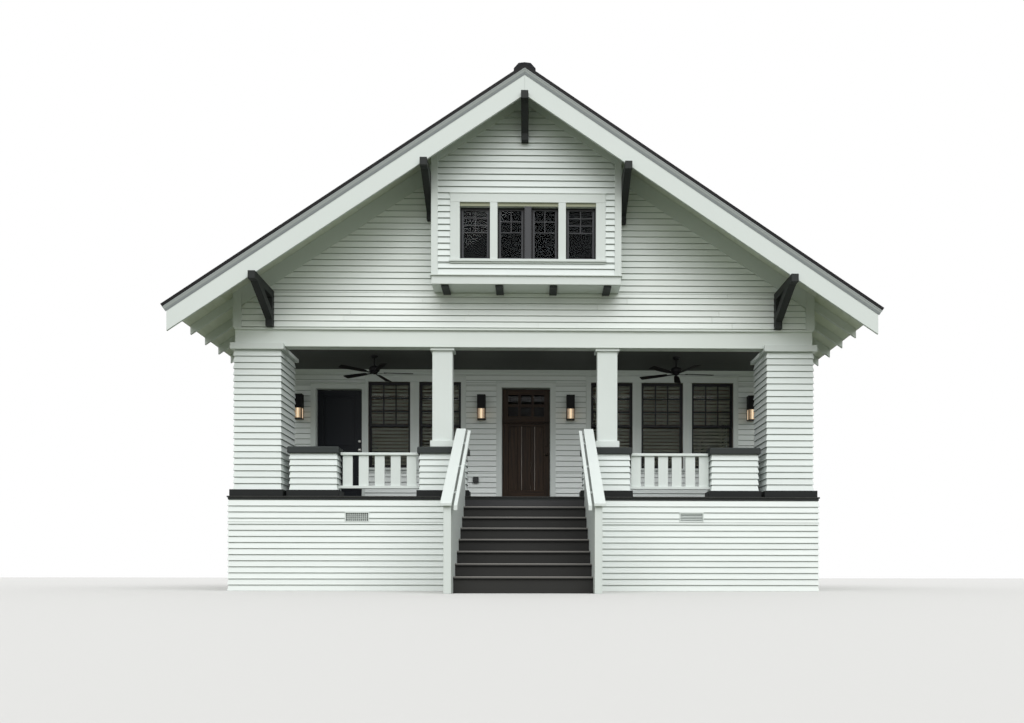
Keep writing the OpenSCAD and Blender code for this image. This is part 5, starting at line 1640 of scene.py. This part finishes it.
@dataclass(frozen=True)
class Lanterns:
    """Wall lanterns: a square black hood on a wall plate, over four panes, a thin base and a lit tube."""

    width: float = 0.158
    depth: float = 0.138
    height: float = 0.47
    hood: float = 0.265
    top: float = 3.70
    reach: float = 0.094
    bar: float = 0.008
    xs: tuple[float, ...] = (-4.32, -0.85, 0.85, 4.32)

    def build(self) -> None:
        """Makes the frames, panes and lamps."""
        iron, panes, lamps = Boards(90), Boards(91), Boards(92)
        a, b = self.width / 2 - 0.006, self.depth / 2 - 0.006
        z0, z1 = 0.0192, self.height - self.hood - 0.0002
        thick, up = np.array([(-0.0012, z0), (0.0012, z0), (0.0012, z1), (-0.0012, z1)]).T
        across = np.array([-1.0, -0.45, -0.2, 0.0, 0.2, 0.45, 1.0])[:, None]
        # painted light: each pane glows most in its middle, before the lamp
        glow = np.repeat([0.03, 0.3, 0.58, 1.0, 0.58, 0.3, 0.03], 4)
        tube = [(0.004, 0.062), (0.017, 0.064), (0.0195, 0.075), (0.0195, 0.170), (0.016, 0.186), (0.009, 0.195)]
        for x in self.xs:
            foot = (x, H.wall_y - self.reach, self.top - self.height)
            place = about(foot)
            self.frame(iron, place)
            for s in (-1, 1):
                panes.tubes(house(s * a + thick, across * (b - 0.002), up), place, wear=glow)
                panes.tubes(house(across * (a - 0.002), s * b + thick, up), place, wear=glow)
            lamps.lathe([*tube, (0.001, 0.198)], foot, 24)
        iron.piece("lantern_frames", IRON, ease=0.0015, replaces=["wall_lanterns"])
        panes.piece("lantern_panes", LAMPLIT)
        lamps.piece("lantern_lamps", BULB, smooth=True)

    def frame(self, iron: Boards, place: Place) -> None:
        """Metal parts of one lantern: wall plate, hood, its lid and rim, base in two steps, holder, four bars.

        Args:
            iron: the piece that takes them.
            place: mapping from the middle of the lantern's foot.
        """
        a, b, high, under, half = self.width / 2, self.depth / 2, self.height, self.height - self.hood, self.bar / 2
        iron.each(
            place,
            (-0.052, 0.052, b + 0.0002, 0.0935, 0.05, high - 0.02),
            (-a, a, -b, b, under, high - 0.0082),
            (-a - 0.001, a + 0.001, -b - 0.001, b, high - 0.008, high),
            (-a - 0.001, a + 0.001, -b - 0.001, b, under - 0.001, under + 0.013),
            (-a, a, -b, b, 0.0, 0.012),
            (0.012 - a, a - 0.012, 0.012 - b, b - 0.012, 0.0122, 0.019),
            (-0.014, 0.014, -0.014, 0.014, 0.0192, 0.062),
        )
        for s in (-1, 1):
            for t in (-1, 1):
                x, y = s * (a - half), t * (b - half)
                iron.each(place, (x - half, x + half, y - half, y + half, 0.0122, under - 0.0012))


@dataclass(frozen=True)
class Fans:
    """Ceiling fans: turned mounts, flat hubs with a cap, arms and pitched blades."""

    x: float = 2.71
    y: float = 1.13
    z: float = 3.89
    blades: int = 5
    turn: float = 6.0
    tilt: float = 10.0

    def build(self) -> None:
        """Makes both fans, each rotor on its own body."""
        mounts, low = Boards(100), self.z + 0.0133
        motor = [(0.001, 0.0), (0.066, 0.0), (0.072, 0.004), (0.088, 0.012), (0.0925, 0.022), (0.095, 0.034)]
        motor += [(0.095, 0.064), (0.092, 0.072), (0.083, 0.086), (0.06, 0.094), (0.038, 0.100), (0.030, 0.108)]
        motor += [(0.0285, 0.110), (0.001, 0.110)]
        canopy = [(0.001, -0.045), (0.039, -0.045), (0.046, -0.040), (0.058, -0.022), (0.064, -0.006)]
        canopy += [(0.065, -0.0006), (0.001, -0.0006)]
        length = H.ceiling - low - 0.10
        rod = [(0.001, 0.0), (0.014, 0.0), (0.014, length), (0.001, length)]
        for x, node in ((-self.x, "fan_left"), (self.x, "fan_right")):
            mounts.lathe(motor, (x, self.y, low), 48)
            mounts.lathe(canopy, (x, self.y, H.ceiling), 40)
            mounts.lathe(rod, (x, self.y, low + 0.06), 24)
            self.rotor((x, self.y, self.z), node)
        mounts.piece("fan_motors", IRON, smooth=True, replaces=["fan_mounts"])

    def rotor(self, centre: Sequence[float], node: str) -> None:
        """Hub, arms and blades. A blade's edges narrow towards its root, and it turns about its own length.

        Args:
            centre: where the blades' axis meets the middle of their thickness.
            node: its node and its body.
        """
        hub, blades, tilt = Boards(101), Boards(102), math.radians(self.tilt)
        rim = [(0.001, -0.013), (0.052, -0.013), (0.059, -0.009), (0.060, 0.0), (0.060, 0.0125), (0.001, 0.0125)]
        hub.lathe(rim, centre, 40)
        hub.lathe([(0.001, -0.030), (0.020, -0.028), (0.034, -0.020), (0.037, -0.0128), (0.001, -0.0128)], centre, 32)
        out = np.array([0.168, 0.19, 0.22, 0.30, 0.42, 0.54, 0.64, 0.672, 0.686, 0.6895])
        half = np.array([0.030, 0.040, 0.046, 0.051, 0.056, 0.060, 0.064, 0.063, 0.056, 0.042])
        outline = np.stack([np.concatenate([out, out[::-1]]), np.concatenate([half, -half[::-1]])], axis=1)
        for i in range(self.blades):
            angle = math.radians(self.turn + i * 360 / self.blades)
            place = self.spun(centre, angle, tilt)
            hub.each(place, (0.03, 0.215, -0.018, 0.018, -0.0105, -0.0045))
            blades.runs(outline, -0.004, 0.004, 2, place, along=(math.cos(angle), math.sin(angle), 0.0))
        hub.piece(f"{node}_hub", IRON, node, smooth=True, replaces=[node])
        blades.piece(f"{node}_blades", FAN_WOOD, node, ease=0.002)

    @staticmethod
    def spun(centre: Sequence[float], angle: float, tilt: float) -> Place:
        """Mapping of a blade: out along it, across it and up, tilted about its length, turned about the axis."""

        def place(u: Array, v: Array, w: Array) -> Array:
            """Tilts, turns and moves the points."""
            across, up = v * math.cos(tilt) - w * math.sin(tilt), v * math.sin(tilt) + w * math.cos(tilt)
            x, y = u * math.cos(angle) - across * math.sin(angle), u * math.sin(angle) + across * math.cos(angle)
            return house(centre[0] + x, centre[1] + y, centre[2] + up)

        return place


@dataclass(frozen=True)
class Details:
    """Vents in the skirt, the socket box by the door, and plain finishes of the solids that stay."""

    rim: float = 0.018
    socket_x: float = -0.96
    socket_z: float = 2.094
    board: float = 0.12
    board_t: float = 0.022
    lengths: Span = (1.4, 3.6)

    def build(self) -> None:
        """Makes the vents, the socket box and the indoor floors, and dresses the remaining nodes."""
        self.vents()
        self.socket()
        indoors = [f"front_wall_{word}" for word in ("left", "middle", "right", "header")]
        for finish, nodes in (
            (SOFFIT, ("foundation_front", "front_gable", "rear_gable", "pillars", "piers")),
            (BLOCK, ("foundation_sides", "foundation_rear")),
            (TRIM, ("gable_bay",)),
            (PLASTER_PAINTED_SHADE, ("side_walls", "rear_wall", *indoors)),
        ):
            for node in nodes:
                coat(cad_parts[node], finish)
        self.floor("main_floor", H.wall)
        self.floor("upper_floor", 0.0)

    def floor(self, node: str, inset: float) -> None:
        """Floorboards laid along the house over a slab, between its walls, end joints at random."""
        low, high = (np.array(corner) - (0.0, FRONT_Y, 0.0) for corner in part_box(node))
        boards, top = Boards(120), high[2] - self.board_t
        boards.blocks(low, (high[0], high[1], top - 0.0005))
        lows, highs = [], []
        for x in np.arange(low[0] + inset, high[0] - inset, self.board):
            y = low[1]
            while y < high[1] - 0.01:
                end = min(y + float(boards.rng.uniform(*self.lengths)), high[1])
                lows.append((x + HAIR, y + HAIR, top))
                highs.append((min(x + self.board, high[0] - inset) - HAIR, end - HAIR, high[2]))
                y = end
        boards.blocks(lows, highs)
        if inset:
            for s in (-1, 1):
                x = sorted((s * high[0], s * (high[0] - inset)))
                boards.each(house, (*x, low[1], high[1], top, high[2]))
        boards.piece(f"{node}_boards", OAK, replaces=[node])

    def vents(self) -> None:
        """Framed vents in the skirt: a square grid on the left, sloping louvres on the right."""
        walls, rim, face = Walls(), self.rim, Facing.FRONT.face(-H.base_proud)
        wide, tall = (size - 2 * rim for size in walls.vent)
        grilles, dark = Boards(110), Boards(111)
        for side in (-1, 1):
            x0, x1, z0, z1 = walls.vent_hole(side)
            a0, a1, h0, h1 = x0 + rim, x1 - rim, z0 + rim, z1 - rim
            for ends in ((x0, x1, z0, h0), (x0, x1, h1, z1), (x0, a0, h0, h1), (a1, x1, h0, h1)):
                grilles.each(face, (*ends[:2], -0.02, 0.022, *ends[2:]))
            if side < 0:
                for x in (a0 + i * wide / 11 for i in range(1, 11)):
                    grilles.each(face, (x - 0.005, x + 0.005, -0.008, 0.012, h0, h1))
                for z in (h0 + i * tall / 4 for i in range(1, 4)):
                    grilles.each(face, (a0, a1, -0.006, 0.010, z - 0.004, z + 0.004))
            else:
                for z in (h0 + (i + 0.5) * tall / 5 for i in range(5)):
                    blade = [(0.014, z - 0.012), (0.014, z - 0.009), (-0.016, z + 0.014), (-0.016, z + 0.011)]
                    grilles.runs(blade, a0, a1, 0, face)
            dark.each(face, (x0 + 0.001, x1 - 0.001, -0.05, -0.045, z0 + 0.001, z1 - 0.001))
        grilles.piece("vent_grilles", TRIM, ease=0.0015)
        dark.piece("vent_screens", CHARCOAL)

    def socket(self) -> None:
        """Small weatherproof socket box on the wall beside the front door, with its lid and its catch."""
        box, x, z = Boards(112), self.socket_x, self.socket_z
        box.each(
            Facing.FRONT.face(H.wall_y),
            (x - 0.052, x + 0.052, 0.004, 0.052, z - 0.056, z + 0.056),
            (x - 0.056, x + 0.056, 0.0525, 0.064, z - 0.060, z + 0.026),
            (x - 0.016, x + 0.016, 0.0525, 0.060, z + 0.030, z + 0.052),
        )
        box.piece("socket_box", CAST, ease=0.004)


def seen(tree: Tree) -> Socket:
    """Socket that is 1 for what the camera, reflections and glass see, and 0 for light that falls on things."""
    path = add_node(tree, "LightPath").outputs
    both = add_node(tree, "Math", {0: path["Is Camera Ray"], 1: path["Is Glossy Ray"]}, operation="MAXIMUM")
    rays = {0: both.outputs[0], 1: path["Is Transmission Ray"]}
    return add_node(tree, "Math", rays, operation="MAXIMUM").outputs[0]


def studio_floor() -> None:
    """Plain floor, 480 m wide: pale to the camera, a mid grey for the light that it throws back."""
    ground, reach = bpy.data.meshes.new("Studio floor"), FLOOR_REACH
    corners = [(x, y, -0.001) for x, y in ((-reach, -reach), (reach, -reach), (reach, reach), (-reach, reach))]
    ground.from_pydata(corners, [], [(0, 1, 2, 3)])
    paper = bpy.data.materials.new("Matt studio paper, pale grey")
    paper.use_nodes = True
    tree = paper.node_tree
    tones = {0: seen(tree), "A": srgb(BOUNCE), "B": srgb(FLOOR_TONE)}
    tone = add_node(tree, "Mix", tones, data_type="RGBA").outputs[2]
    shader = tree.nodes["Principled BSDF"]
    shader.inputs["Roughness"].default_value = 0.9
    tree.links.new(tone, shader.inputs["Base Color"])
    ground.materials.append(paper)
    put("Studio floor", ground)


def stage_and_light() -> None:
    """Pale floor, white surroundings for what the camera and glass see, soft lamps and the camera."""
    world = bpy.data.worlds.new("Soft sky")
    bpy.context.scene.world = world
    world.use_nodes = True
    tree = world.node_tree
    tree.nodes.clear()
    strength = add_node(tree, "MapRange", {"Value": seen(tree), "To Min": SKY, "To Max": 1.0}).outputs["Result"]
    light = add_node(tree, "Background", {"Color": (1.0, 1.0, 1.0, 1.0), "Strength": strength})
    add_node(tree, "OutputWorld", {"Surface": light.outputs["Background"]})
    for name, energy, turn in KEYS:
        sun = bpy.data.lights.new(name, "SUN")
        sun.energy, sun.angle = energy, math.radians(KEY_ANGLE)
        put(name, sun).rotation_euler = (math.radians(KEY_TILT), 0.0, math.radians(turn))
    fill = bpy.data.lights.new("Porch fill", "AREA")
    fill.shape, fill.size, fill.size_y, fill.energy = "RECTANGLE", 8.4, 0.12, PORCH_FILL
    strip = put("Porch fill", fill)
    strip.location, strip.rotation_euler = (0.0, 0.22 + FRONT_Y, H.beam + 0.07), (math.radians(90), 0.0, 0.0)
    studio_floor()
    camera = bpy.data.cameras.new("Camera")
    camera.sensor_width, camera.lens, camera.clip_end = 36.0, LENS, 1000.0
    camera.shift_x, camera.shift_y = SHIFT
    eye = put("Camera", camera)
    eye.location, eye.rotation_euler = (EYE[0], EYE[1] + FRONT_Y, EYE[2]), (math.radians(90), *EYE_TURN)
    bpy.context.scene.camera = eye
    bpy.context.scene.view_settings.view_transform = "Standard"


def main() -> None:
    """Builds the house in order."""
    logging.basicConfig(level=logging.INFO, format="%(name)s %(message)s")
    stage_and_light()
    for part in (Walls(), Windows(), Roof(), Porch(), Stair(), Doors(), Lanterns(), Fans(), Details()):
        LOG.info("building %s", type(part).__name__)
        part.build()


if __name__ == "__main__":
    main()
